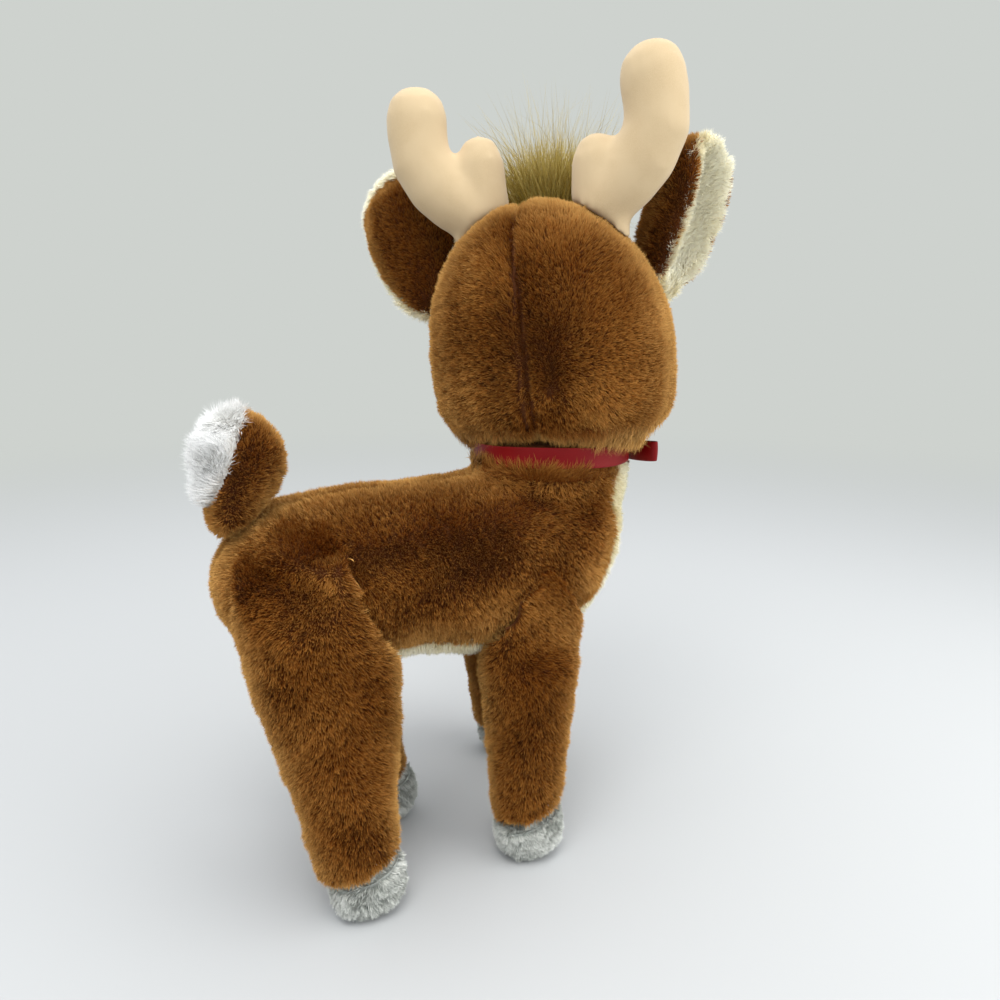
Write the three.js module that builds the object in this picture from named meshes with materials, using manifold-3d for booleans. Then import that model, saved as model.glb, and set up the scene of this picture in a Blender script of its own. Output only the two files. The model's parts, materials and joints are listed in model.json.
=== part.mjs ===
// A standing plush deer: sewn covers over loose filling, with stuffed antlers, a turned head,
// soft ears and a soft tail. Millimetres, +Z up. The deer looks along -Y, its left side is +X.

import * as THREE from 'three';
import { mergeVertices } from 'three/addons/utils/BufferGeometryUtils.js';
import Module from 'manifold-3d';

const wasm = await Module();
wasm.setup();

// Driving dimensions of the whole toy
const rumpY = 109;
const chestY = -92;
const bodyMidHeight = 141;
const bodyHalfWidth = 45;
const bodyHalfHeight = 43.5;
const neckSetBack = 34;
const neckRise = 66;
const neckHalfWidth = 35;
const neckHalfDepth = 37;
const headSide = 7;
const headForward = 3;
const headRise = 45;
const headTurnDegrees = 45.5;
const headTiltDegrees = 4;
const headHalfWidth = 61;
const headHalfDepth = 54;
const headHalfHeight = 60.5;
const crownSetBack = 18;
const neckY = chestY + neckSetBack;
const neckTopHeight = bodyMidHeight + neckRise;
const headY = neckY - headForward;
const headHeight = neckTopHeight + headRise;

// Cloth and sewing
const backFace = 1;
const frontFace = -1;
const coverWall = 2.6;
const snoutWall = 2.2;
const seamGap = 0.3;
const overrun = 60;

// Smoothness of the forms
const innerShare = 0.65;
const cutterSides = 14;
const ribbonSteps = 14;

const X = new THREE.Vector3(1, 0, 0);
const Y = new THREE.Vector3(0, 1, 0);
const Z = new THREE.Vector3(0, 0, 1);
const point = (x, y, z) => new THREE.Vector3(x, y, z);

// Materials, one for each kind of cloth or plastic
const colours = {
  brownPlush: [0x8f5a2c, 0.95],
  creamPlush: [0xeee6cc, 0.95],
  whitePlush: [0xf4f2ee, 0.95],
  greyPlush: [0xa6abaa, 0.95],
  goldHair: [0x9a8636, 0.9],
  tanVelour: [0xe0c9a4, 0.9],
  filling: [0xf2f2f0, 1],
  redSatin: [0xa8101c, 0.4],
  blackPlastic: [0x0c0b0b, 0.15],
  clearNylon: [0xe6e4de, 0.5],
};

function materialOf(kind) {
  const [color, roughness] = colours[kind];
  return new THREE.MeshStandardMaterial({ color, roughness, metalness: 0 });
}

// Solids and meshes
function solidOf(geometry, matrix = null) {
  const plain = geometry.clone();
  plain.deleteAttribute('normal');
  plain.deleteAttribute('uv');
  if (matrix) plain.applyMatrix4(matrix);
  const merged = mergeVertices(plain);
  return new wasm.Manifold(new wasm.Mesh({
    numProp: 3,
    vertProperties: new Float32Array(merged.attributes.position.array),
    triVerts: new Uint32Array(merged.index.array),
  }));
}

function geometryOf(solid) {
  const { numProp, vertProperties, triVerts } = solid.getMesh();
  const positions = [];
  for (let i = 0; i < vertProperties.length; i += numProp) {
    positions.push(vertProperties[i], vertProperties[i + 1], vertProperties[i + 2]);
  }
  const geometry = new THREE.BufferGeometry();
  geometry.setAttribute('position', new THREE.Float32BufferAttribute(positions, 3));
  geometry.setIndex([...triVerts]);
  geometry.computeVertexNormals();
  return geometry;
}

function piece(name, kind, solid, parent) {
  const mesh = new THREE.Mesh(geometryOf(solid), materialOf(kind));
  mesh.name = name;
  parent.add(mesh);
  return mesh;
}

// A closed surface through rings of points, drawn to a point at each end. Rings that run the other
// way round are told by turned, so that two surfaces which face each other share their diagonals.
function skinOverRings(rings, startPole, endPole, turned = false) {
  const around = rings[0].length;
  const points = [startPole, ...rings.flat(), endPole];
  const last = points.length - 1;
  const faces = [];
  for (let j = 0; j < around; j++) {
    const next = (j + 1) % around;
    faces.push(0, 1 + next, 1 + j);
    for (let i = 0; i < rings.length - 1; i++) {
      const low = 1 + i * around;
      const high = low + around;
      faces.push(low + j, low + next, high + next);
      faces.push(low + j, high + next, high + j);
    }
    const top = 1 + (rings.length - 1) * around;
    faces.push(top + j, top + next, last);
  }
  if (turned) faces.reverse();
  const geometry = new THREE.BufferGeometry();
  geometry.setAttribute('position', new THREE.Float32BufferAttribute(points.flatMap((p) => [p.x, p.y, p.z]), 3));
  geometry.setIndex(faces);
  return geometry;
}

// The value of evenly spaced shares at a place from 0 to 1, with a smooth run between them
function swell(shares, place) {
  const spot = Math.min(Math.max(place, 0), 1) * (shares.length - 1);
  const i = Math.min(Math.floor(spot), shares.length - 2);
  const t = spot - i;
  const [before, here, after, beyond] = [i - 1, i, i + 1, i + 2].map(
    (k) => shares[Math.min(Math.max(k, 0), shares.length - 1)],
  );
  const pull = (after - before) * t;
  const bend = (2 * before - 5 * here + 4 * after - beyond) * t * t;
  const curl = (3 * here - before - 3 * after + beyond) * t * t * t;
  return here + (pull + bend + curl) / 2;
}

// How far a round end has opened, where its cap takes a share of the length
function roundEnd(place, capShare) {
  const left = 1 - Math.min(place / capShare, 1);
  return Math.sqrt(1 - left * left);
}

// A stuffed form along a line from one point to another, or along a bent spine. It swells and
// tapers by its shares, and inset draws the whole surface inwards, so that a cover and its filling
// follow the same form.
function stuffedForm(form, inset = 0) {
  const {
    spine = null, from = spine?.getPointAt(0), to = spine?.getPointAt(1), bow = point(0, 0, 0),
    side, halfWidth, halfDepth, widthShares = [1, 1], depthShares = widthShares, bowShares = [0, 0],
    startCapShare, endCapShare, squareness = 2, rings, around,
  } = form;
  const along = to.clone().sub(from);
  const length = along.length();
  along.normalize();
  const centreAt = (place) => (spine ? spine.getPointAt(place) : from.clone()
    .addScaledVector(along, inset + (length - 2 * inset) * place)
    .addScaledVector(bow, swell(bowShares, place)));
  const ringList = [];
  for (let i = 1; i < rings; i++) {
    const place = (1 - Math.cos(Math.PI * i / rings)) / 2;
    const open = roundEnd(place, startCapShare) * roundEnd(1 - place, endCapShare);
    const wide = (halfWidth * swell(widthShares, place) - inset) * open;
    const thick = (halfDepth * swell(depthShares, place) - inset) * open;
    const centre = centreAt(place);
    const heading = spine ? spine.getTangentAt(place) : along;
    const across = side.clone().addScaledVector(heading, -side.dot(heading)).normalize();
    const deep = heading.clone().cross(across);
    ringList.push(Array.from({ length: around }, (unused, j) => {
      const angle = 2 * Math.PI * j / around;
      const c = Math.cos(angle);
      const s = Math.sin(angle);
      return centre.clone()
        .addScaledVector(across, wide * Math.sign(c) * Math.abs(c) ** (2 / squareness))
        .addScaledVector(deep, thick * Math.sign(s) * Math.abs(s) ** (2 / squareness));
    }));
  }
  return skinOverRings(ringList, centreAt(0), centreAt(1));
}

// The same form with fewer facets, for the surfaces inside a cover
const inner = (form) => ({
  ...form,
  rings: Math.round(form.rings * innerShare),
  around: Math.round(form.around * innerShare),
});

// A flap of two cloths laid back to back. The back cloth lies towards +depth and the front cloth
// towards -depth of the flap's middle surface, which curls round the front with a curl radius.
function flapHalf(flap, face) {
  const {
    from, to, side, halfWidth, widthShares, frontThickness, backThickness = frontThickness,
    thicknessShares = [1, 1], curlRadius = Infinity, startCapShare, endCapShare, rings, arcSteps,
  } = flap;
  const along = to.clone().sub(from);
  const length = along.length();
  along.normalize();
  const across = side.clone().addScaledVector(along, -side.dot(along)).normalize();
  const deep = along.clone().cross(across);
  const sagOf = (angle) => (angle === 0 ? 0 : (1 - Math.cos(angle)) / angle);
  const ringList = [];
  const edge = seamGap / 2;
  const thickness = face > 0 ? backThickness : frontThickness;
  for (let i = 1; i < rings; i++) {
    const place = (1 - Math.cos(Math.PI * i / rings)) / 2;
    const open = roundEnd(place, startCapShare) * roundEnd(1 - place, endCapShare);
    const wide = halfWidth * swell(widthShares, place) * open;
    const centre = from.clone().addScaledVector(along, length * place);
    const sagMiddle = wide * sagOf(wide / curlRadius) / 2;
    const put = (c, rise) => {
      const angle = wide * c / curlRadius;
      const out = face * (edge + rise);
      const reach = angle === 0 ? wide * c : wide * c * Math.sin(angle) / angle;
      return centre.clone()
        .addScaledVector(across, reach + out * Math.sin(angle))
        .addScaledVector(deep, sagMiddle + out * Math.cos(angle) - wide * c * sagOf(angle));
    };
    const ring = [];
    for (let j = 0; j <= arcSteps; j++) {
      const angle = Math.PI * j / arcSteps;
      ring.push(put(Math.cos(angle), thickness * swell(thicknessShares, place) * open * Math.sin(angle)));
    }
    for (let j = 1; j < arcSteps; j++) ring.push(put(2 * j / arcSteps - 1, 0));
    ringList.push(ring);
  }
  const pole = (place) => from.clone().addScaledVector(along, length * place)
    .addScaledVector(deep, face * edge);
  return skinOverRings(ringList, pole(0), pole(1), face < 0);
}

// Everything on the far side of a plane, as a large block for cutting
function halfSpace(origin, normal) {
  const size = 4 * overrun;
  const block = new THREE.BoxGeometry(size, size, size);
  block.translate(0, 0, size / 2);
  const turn = new THREE.Quaternion().setFromUnitVectors(Z, normal.clone().normalize());
  block.applyQuaternion(turn);
  block.translate(origin.x, origin.y, origin.z);
  return solidOf(block);
}

function rod(radius, length, centre, axis, sides = cutterSides) {
  const geometry = new THREE.CylinderGeometry(radius, radius, length, sides);
  geometry.applyQuaternion(new THREE.Quaternion().setFromUnitVectors(Y, axis.clone().normalize()));
  geometry.translate(centre.x, centre.y, centre.z);
  return solidOf(geometry);
}

const deer = new THREE.Group();

// The head's own group: its -Y is the face, and it is turned and tilted on the neck
const head = new THREE.Group();
head.position.set(headSide, headY, headHeight);
const headTurn = THREE.MathUtils.degToRad(headTurnDegrees);
const headTilt = THREE.MathUtils.degToRad(headTiltDegrees);
head.rotation.set(0, headTilt, headTurn, 'ZYX');
head.updateMatrix();
deer.add(head);
const intoHead = head.matrix.clone().invert();

// Body form and neck form
const bodyForm = {
  from: point(0, rumpY, bodyMidHeight),
  to: point(0, chestY, bodyMidHeight),
  bow: point(0, 0, bodyHalfHeight),
  bowShares: [0.06, 0.03, 0.05, 0.055, 0.015, 0.06, 0.2, 0.5],
  side: X,
  halfWidth: bodyHalfWidth,
  halfDepth: bodyHalfHeight,
  widthShares: [0.9, 0.98, 1, 1, 1, 0.98, 0.92, 0.86],
  depthShares: [0.66, 0.81, 0.91, 0.905, 0.985, 1.02, 1, 0.9],
  startCapShare: 0.16,
  endCapShare: 0.17,
  squareness: 2.2,
  rings: 13,
  around: 20,
};
const neckForm = {
  from: point(0, neckY, bodyMidHeight),
  to: point(0, neckY, neckTopHeight),
  side: X,
  halfWidth: neckHalfWidth,
  halfDepth: neckHalfDepth,
  widthShares: [0.5, 0.8, 1.02, 1.03, 0.98],
  startCapShare: 0.2,
  endCapShare: 0.01,
  rings: 7,
  around: 18,
};

const neckMouthHeight = neckTopHeight - coverWall;
const neckMouth = point(0, neckY, neckMouthHeight);

const asDrawn = (form) => form;

function bodySolid(inset, detail = asDrawn) {
  return solidOf(stuffedForm(detail(bodyForm), inset)).add(solidOf(stuffedForm(detail(neckForm), inset)));
}

const bodyOutside = bodySolid(0);
const bodyClearance = bodySolid(-seamGap);
const bodyInside = bodySolid(coverWall, inner);
const bodyShell = bodyOutside.subtract(bodyInside).subtract(halfSpace(neckMouth, Z));

// The cream panel is the strip of the body's cover from the throat, over the chest, to the belly
const panelHalfWidth = 22;
const panelThroatForward = 14;
const panelEdgeDrop = 23;
const panelEndForward = 47;
const panelThroatY = neckY - panelThroatForward;
const panelUpperHeight = bodyMidHeight - panelEdgeDrop;
const panelEndY = rumpY - panelEndForward;

function panelStrip(halfWidth) {
  const outline = new THREE.Shape();
  outline.moveTo(chestY - overrun, neckMouthHeight + overrun);
  outline.lineTo(panelThroatY, neckMouthHeight + overrun);
  outline.lineTo(panelThroatY, panelUpperHeight);
  outline.lineTo(panelEndY, panelUpperHeight);
  outline.lineTo(panelEndY, -overrun);
  outline.lineTo(chestY - overrun, -overrun);
  outline.closePath();
  const strip = new THREE.ExtrudeGeometry(outline, { depth: 2 * halfWidth, bevelEnabled: false });
  strip.translate(0, 0, -halfWidth);
  strip.applyMatrix4(new THREE.Matrix4().makeBasis(Y, Z, X));
  return solidOf(strip);
}

// Legs and hooves: each leg is a tapered sleeve from the hip to its hoof
const hindRadius = 31;
const foreRadius = 30;
const haunchBulge = 4;
const hindHipSide = 22;
const hindHipForward = 30;
const hindHipRise = 41;
const foreHipSide = 22;
const foreHipSetBack = 55;
const foreHipRise = 37;
const ankleHeight = 8;
const hindHipY = rumpY - hindHipForward;
const foreHipY = chestY + foreHipSetBack;
// The legs are soft, so each foot stands at its own place, forward of or behind its hip, and one
// leg bends outwards
const hindRightFootSide = 45.6;
const hindRightStep = -21.4;
const hindLeftFootSide = 15;
const hindLeftStep = -45.5;
const hindLeftSpread = 9;
const frontRightFootSide = 41.2;
const frontRightStep = 12;
const frontLeftFootSide = 50;
const frontLeftStep = -17;
const legs = [
  { at: 'hind_right', hand: -1, hind: true, footSide: hindRightFootSide, step: hindRightStep, spread: 0 },
  { at: 'hind_left', hand: 1, hind: true, footSide: hindLeftFootSide, step: hindLeftStep, spread: hindLeftSpread },
  { at: 'front_right', hand: -1, hind: false, footSide: frontRightFootSide, step: frontRightStep, spread: 0 },
  { at: 'front_left', hand: 1, hind: false, footSide: frontLeftFootSide, step: frontLeftStep, spread: 0 },
];
for (const leg of legs) leg.footY = (leg.hind ? hindHipY : foreHipY) + leg.step;

const hoofRadius = 15.5;
const hoofToe = 5;
const hoofTopHeight = 44;
const hoofShares = [0.86, 1.02, 1.02, 0.96, 0.9, 0.86];
const solePress = 0.5;
const hemBackHeight = 19;
const hemFrontHeight = 27;

function legForm({ hand, hind, footSide, footY, spread }) {
  const hipSide = hind ? hindHipSide : foreHipSide;
  const hipY = hind ? hindHipY : foreHipY;
  return {
    from: point(hand * hipSide, hipY, bodyMidHeight + (hind ? hindHipRise : foreHipRise)),
    to: point(hand * footSide, footY, ankleHeight),
    bow: point(hand * spread, hind ? -haunchBulge : 0, 0),
    bowShares: [0, 0.3, 1, 0.8, 0.2, 0],
    side: X,
    halfWidth: hind ? hindRadius : foreRadius,
    halfDepth: hind ? hindRadius : foreRadius,
    widthShares: hind ? [0.8, 0.93, 0.86, 0.72, 0.62, 0.55] : [0.5, 0.7, 0.73, 0.67, 0.6, 0.54],
    depthShares: hind ? [0.95, 1, 1.06, 0.87, 0.67, 0.59] : [0.6, 0.92, 0.9, 0.76, 0.63, 0.55],
    startCapShare: 0.16,
    endCapShare: 0.02,
    rings: 9,
    around: 14,
  };
}

function hoofForm({ hand, footSide, footY }) {
  return {
    from: point(hand * footSide, footY - hoofToe / 2, -solePress),
    to: point(hand * footSide, footY, hoofTopHeight),
    side: X,
    halfWidth: hoofRadius,
    halfDepth: hoofRadius + hoofToe / 2,
    widthShares: hoofShares,
    startCapShare: 0.1,
    endCapShare: 0.1,
    squareness: 2.2,
    rings: 9,
    around: 18,
  };
}

for (const leg of legs) {
  const form = legForm(leg);
  const hemRise = point(0, 2 * hoofRadius, hemBackHeight - hemFrontHeight);
  const hemNormal = X.clone().cross(hemRise).normalize();
  const hemCentre = point(leg.hand * leg.footSide, leg.footY, (hemBackHeight + hemFrontHeight) / 2);
  const overHem = hemCentre.clone().addScaledVector(hemNormal, seamGap);
  const underHem = halfSpace(overHem, hemNormal.clone().negate());
  const aboveHem = halfSpace(hemCentre, hemNormal);

  const outside = solidOf(stuffedForm(form));
  const sleeve = outside.subtract(solidOf(stuffedForm(inner(form), coverWall)));
  piece(`leg_cover_${leg.at}`, 'brownPlush', sleeve.subtract(bodyClearance).subtract(underHem), deer);
  const filling = solidOf(stuffedForm(inner(form), coverWall + seamGap));
  piece(`leg_stuffing_${leg.at}`, 'filling', filling.subtract(bodyClearance).subtract(underHem), deer);

  const boot = solidOf(stuffedForm(hoofForm(leg)));
  const floor = halfSpace(point(0, 0, 0), Z.clone().negate());
  piece(`hoof_${leg.at}`, 'greyPlush', boot.subtract(aboveHem).subtract(floor), deer);
}

piece('body_cover', 'brownPlush', bodyShell.subtract(panelStrip(panelHalfWidth + seamGap)), deer);
piece('belly_panel', 'creamPlush', bodyShell.intersect(panelStrip(panelHalfWidth)), deer);
const bodyFilling = bodySolid(coverWall + seamGap, inner);
piece('body_stuffing', 'filling', bodyFilling.subtract(halfSpace(neckMouth, Z)), deer);

// Head and snout
const headForm = {
  from: point(0, 0, -headHalfHeight),
  to: point(0, 0, headHalfHeight),
  bow: point(0, crownSetBack, 0),
  bowShares: [-0.2, 0, 0.1, 0.35, 0.7, 1],
  side: X,
  halfWidth: headHalfWidth,
  halfDepth: headHalfDepth,
  widthShares: [0.9, 0.98, 1, 1, 0.99, 0.98],
  startCapShare: 0.18,
  endCapShare: 0.6,
  squareness: 2.15,
  rings: 13,
  around: 20,
};
const snoutBackY = -26;
const snoutTipY = -78;
const snoutHeight = -24;
const snoutHalfWidth = 31;
const snoutHalfHeight = 24;
const snoutForm = {
  from: point(0, snoutBackY, snoutHeight),
  to: point(0, snoutTipY, snoutHeight),
  bow: point(0, 0, snoutHalfHeight),
  bowShares: [0, 0, 0.06],
  side: X,
  halfWidth: snoutHalfWidth,
  halfDepth: snoutHalfHeight,
  widthShares: [1, 1, 0.9, 0.74],
  depthShares: [1, 1, 0.92, 0.8],
  startCapShare: 0.1,
  endCapShare: 0.36,
  rings: 9,
  around: 18,
};

// How far the head reaches to its side at a height, and how far back its middle lies there
const headPlace = (height) => (height + headHalfHeight) / (2 * headHalfHeight);
function headWidthAt(height) {
  const open = roundEnd(1 - headPlace(height), headForm.endCapShare);
  return headHalfWidth * swell(headForm.widthShares, headPlace(height)) * open;
}
const headSetBackAt = (height) => crownSetBack * swell(headForm.bowShares, headPlace(height));

const bodySocket = bodyClearance.transform(intoHead.elements);
const headOutside = solidOf(stuffedForm(headForm));
const headClearance = solidOf(stuffedForm(headForm, -seamGap));
const snoutOutside = solidOf(stuffedForm(snoutForm));
const snoutMouth = solidOf(stuffedForm(inner(snoutForm), snoutWall));
const snoutFilling = solidOf(stuffedForm(inner(snoutForm), snoutWall + seamGap));

// Safety eyes and nose: a button with a shank through the cover and a lock washer behind it
const shankRadius = 2.2;
const shankClearance = 0.4;
const buttonLift = 0.3;
const washerRadius = 7.5;
const washerThickness = 1.5;
const washerPlace = -8.8;
const shankEnd = -13.5;
const pocketRadius = 8.5;
const pocketEnd = -15.5;

function buttonSolid(halfWidth, rise, flattenShare) {
  const steps = 6;
  const outline = [new THREE.Vector2(0, shankEnd), new THREE.Vector2(shankRadius, shankEnd)];
  outline.push(new THREE.Vector2(shankRadius, buttonLift));
  for (let i = 0; i <= steps; i++) {
    const angle = Math.PI / 2 * i / steps;
    const radius = i < steps ? halfWidth * Math.cos(angle) : 0;
    outline.push(new THREE.Vector2(radius, buttonLift + rise * Math.sin(angle)));
  }
  const lathe = new THREE.LatheGeometry(outline, 18);
  const position = lathe.attributes.position;
  for (let i = 0; i < position.count; i++) {
    if (position.getY(i) > shankEnd && Math.hypot(position.getX(i), position.getZ(i)) > shankRadius) {
      position.setZ(i, position.getZ(i) * flattenShare);
    }
  }
  return lathe;
}

function washerSolid() {
  const bore = shankRadius + shankClearance;
  const outline = [
    new THREE.Vector2(bore, washerPlace), new THREE.Vector2(bore, washerPlace - washerThickness),
    new THREE.Vector2(washerRadius, washerPlace - washerThickness),
    new THREE.Vector2(washerRadius, washerPlace), new THREE.Vector2(bore, washerPlace),
  ];
  return new THREE.LatheGeometry(outline, 16);
}

function fastening(seat, outward, halfWidth) {
  const turn = new THREE.Quaternion().setFromUnitVectors(Y, outward);
  const matrix = new THREE.Matrix4().compose(seat, turn, point(1, 1, 1));
  const holeLength = overrun / 4;
  const bore = rod(shankRadius + shankClearance, holeLength, seat, outward, 12);
  const pressMiddle = seat.clone().addScaledVector(outward, buttonLift - seamGap + holeLength / 2);
  const hole = bore.add(rod(halfWidth + seamGap, holeLength, pressMiddle, outward));
  const pocketMiddle = seat.clone().addScaledVector(outward, pocketEnd / 2);
  const pocket = rod(pocketRadius, -pocketEnd, pocketMiddle, outward, 14);
  return { matrix, hole, pocket };
}

const eyeHalfWidth = 7;
const eyeRise = 4.6;
const eyeAngleDegrees = 33;
const eyeHeight = 6;
const noseHalfWidth = 10.5;
const noseRise = 6;
const noseFlattenShare = 0.72;
const noseSeatDrop = 7;
const noseSlopeDegrees = 20;

const eyeAngle = THREE.MathUtils.degToRad(eyeAngleDegrees);
const eyeWidth = headWidthAt(eyeHeight);
const eyeDepth = eyeWidth * headHalfDepth / headHalfWidth;
const eyeSetBack = headSetBackAt(eyeHeight);
const bulge = 2 / headForm.squareness;
const eyes = [-1, 1].map((hand) => {
  const sine = Math.sin(eyeAngle);
  const cosine = Math.cos(eyeAngle);
  const seat = point(hand * eyeWidth * sine ** bulge, eyeSetBack - eyeDepth * cosine ** bulge, eyeHeight);
  const outward = point(hand * sine / eyeWidth, -cosine / eyeDepth, 0).normalize();
  return { at: hand < 0 ? 'right' : 'left', ...fastening(seat, outward, eyeHalfWidth) };
});
const noseSlope = THREE.MathUtils.degToRad(noseSlopeDegrees);
const noseSeat = point(0, snoutTipY + noseSeatDrop / 4, snoutHeight + noseSeatDrop);
const nose = fastening(noseSeat, point(0, -Math.cos(noseSlope), Math.sin(noseSlope)), noseHalfWidth);

let headCover = headOutside.subtract(solidOf(stuffedForm(inner(headForm), coverWall)));
headCover = headCover.subtract(bodySocket).subtract(snoutMouth);
let headFilling = solidOf(stuffedForm(inner(headForm), coverWall + seamGap));
headFilling = headFilling.subtract(bodySocket).add(snoutFilling).subtract(bodySocket);
for (const eye of eyes) {
  headCover = headCover.subtract(eye.hole);
  headFilling = headFilling.subtract(eye.pocket);
  piece(`eye_${eye.at}`, 'blackPlastic', solidOf(buttonSolid(eyeHalfWidth, eyeRise, 1), eye.matrix), head);
  piece(`eye_washer_${eye.at}`, 'clearNylon', solidOf(washerSolid(), eye.matrix), head);
}
piece('head_cover', 'brownPlush', headCover, head);
piece('head_stuffing', 'filling', headFilling.subtract(nose.pocket), head);

const snoutShell = snoutOutside.subtract(snoutMouth).subtract(headClearance);
piece('snout_cover', 'creamPlush', snoutShell.subtract(bodySocket).subtract(nose.hole), head);
piece('nose', 'blackPlastic', solidOf(buttonSolid(noseHalfWidth, noseRise, noseFlattenShare), nose.matrix), head);
piece('nose_washer', 'clearNylon', solidOf(washerSolid(), nose.matrix), head);

// Antlers: a stuffed mitten, one long beam that bends upright and one short inner tine. Each is
// sewn on with its own twist about the upright line through its root.
const antlerThickness = 12.5;
const antlerRootDepth = 6;
const beamRadius = 15;
const beamReach = 23;
const rightBeamHeight = 85.5;
const leftBeamHeight = 82;
const leanStartShare = 0.6;
const beamSpineShares = [
  [-0.5, 0.04], [-0.2, 0.24], [0.35, 0.37], [0.78, 0.49], [0.99, 0.62], [1, 0.8], [0.98, 1],
];
const tineRadius = 12;
const tineLean = -5.5;
const rightTineHeight = 53.5;
const leftTineHeight = 59;
const antlerRootY = 14;
const rightAntlerSide = 35;
const rightAntlerHeight = 33;
const leftAntlerSide = 33;
const leftAntlerHeight = 35;
const antlers = [
  {
    at: 'right', hand: -1, rootSide: rightAntlerSide, rootHeight: rightAntlerHeight,
    beamHeight: rightBeamHeight, tineHeight: rightTineHeight, twistDegrees: 6, leanShare: 0.45,
  },
  {
    at: 'left', hand: 1, rootSide: leftAntlerSide, rootHeight: leftAntlerHeight,
    beamHeight: leftBeamHeight, tineHeight: leftTineHeight, twistDegrees: 20, leanShare: 0,
  },
];

function antlerSolid({ hand, rootSide, rootHeight, beamHeight, tineHeight, twistDegrees, leanShare }) {
  const beam = {
    spine: new THREE.CatmullRomCurve3(beamSpineShares.map(([sideShare, heightShare]) => {
      const inward = leanShare * Math.max(0, heightShare - leanStartShare);
      return point(hand * beamReach * (sideShare - inward), 0, beamHeight * heightShare);
    })),
    side: Y,
    halfWidth: antlerThickness,
    halfDepth: beamRadius,
    widthShares: [0.96, 1, 1, 1, 1, 1.02],
    depthShares: [0.75, 0.9, 1, 0.99, 0.97, 1.03],
    startCapShare: 0.12,
    endCapShare: 0.15,
    rings: 12,
    around: 14,
  };
  const tine = {
    from: point(hand * tineLean, 0, -antlerRootDepth),
    to: point(hand * tineLean, 0, tineHeight),
    side: Y,
    halfWidth: antlerThickness,
    halfDepth: tineRadius,
    widthShares: [0.9, 0.9, 0.84],
    depthShares: [1.3, 1.1, 0.94],
    startCapShare: 0.2,
    endCapShare: 0.18,
    rings: 7,
    around: 12,
  };
  const place = new THREE.Matrix4().makeRotationZ(hand * THREE.MathUtils.degToRad(twistDegrees));
  place.setPosition(hand * rootSide, antlerRootY, rootHeight);
  return solidOf(stuffedForm(beam), place).add(solidOf(stuffedForm(tine), place));
}

// Ears: a brown back and a cream lining, sewn to the side of the head at a rounded root. The cloth
// is soft, so each ear has its own turn about the upright line, and its own curl.
const earRootRadius = 6.5;
const earHalfWidth = 32;
const earCloth = 6;
const earRootHeight = 18.5;
const rightEarForward = 31;
const rightEarTipSide = 76;
const rightEarTipForward = 11;
const rightEarTipHeight = 83;
const rightEarCurlRadius = 17.5;
const leftEarForward = 1;
const leftEarTipSide = 83;
const leftEarTipForward = 8;
const leftEarTipHeight = 86;
const leftEarCurlRadius = 24;
const ears = [
  {
    at: 'right', hand: -1, rootForward: rightEarForward, turnDegrees: -109, curlRadius: rightEarCurlRadius,
    tipSide: rightEarTipSide, tipY: -rightEarTipForward, tipHeight: rightEarTipHeight,
    spreadShares: [0.82, 0.96],
  },
  {
    at: 'left', hand: 1, rootForward: leftEarForward, turnDegrees: 0, curlRadius: leftEarCurlRadius,
    tipSide: leftEarTipSide, tipY: -leftEarTipForward, tipHeight: leftEarTipHeight,
    spreadShares: [0.5, 0.82],
  },
];

function earFlap(ear) {
  const { hand, rootForward, tipSide, tipY, tipHeight, turnDegrees, curlRadius, spreadShares } = ear;
  const depthShare = rootForward * headHalfWidth / (headWidthAt(earRootHeight) * headHalfDepth);
  const sideShare = (1 - depthShare ** headForm.squareness) ** (1 / headForm.squareness);
  const rootSide = headWidthAt(earRootHeight) * sideShare + earRootRadius + seamGap;
  const root = point(hand * rootSide, headSetBackAt(earRootHeight) - rootForward, earRootHeight);
  const tip = point(hand * tipSide, tipY, tipHeight);
  const upward = tip.clone().sub(root).normalize();
  const span = tip.distanceTo(root);
  const turn = THREE.MathUtils.degToRad(turnDegrees);
  return {
    from: root.clone().addScaledVector(upward, -earRootRadius),
    to: tip,
    side: point(Math.cos(turn), Math.sin(turn), 0),
    halfWidth: earHalfWidth,
    widthShares: [earRootRadius / earHalfWidth, ...spreadShares, 1, 1, 0.84],
    frontThickness: earCloth,
    curlRadius,
    startCapShare: earRootRadius / (span + earRootRadius),
    endCapShare: 0.32,
    rings: 10,
    arcSteps: 8,
  };
}

for (const antler of antlers) {
  piece(`antler_${antler.at}`, 'tanVelour', antlerSolid(antler).subtract(headClearance), head);
}
for (const ear of ears) {
  const flap = earFlap(ear);
  const back = solidOf(flapHalf(flap, backFace)).subtract(headClearance);
  const lining = solidOf(flapHalf(flap, frontFace)).subtract(headClearance);
  piece(`ear_back_${ear.at}`, 'brownPlush', back, head);
  piece(`ear_lining_${ear.at}`, 'creamPlush', lining, head);
}

// Forelock: a tuft of long hair at the front of the crown, between the antlers
const forelockSide = 6;
const forelockForward = 22;
const forelockRootHeight = 36;
const forelockLean = 11;
const forelockTipHeight = 95;
const forelockHalfWidth = 20;
const forelockHalfDepth = 11.5;
const forelockForm = {
  from: point(forelockSide, -forelockForward, forelockRootHeight),
  to: point(forelockSide, -forelockForward - forelockLean, forelockTipHeight),
  side: X,
  halfWidth: forelockHalfWidth,
  halfDepth: forelockHalfDepth,
  widthShares: [0.6, 0.8, 1, 1],
  startCapShare: 0.1,
  endCapShare: 0.4,
  rings: 7,
  around: 12,
};
piece('forelock', 'goldHair', solidOf(stuffedForm(forelockForm)).subtract(headClearance), head);

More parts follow.
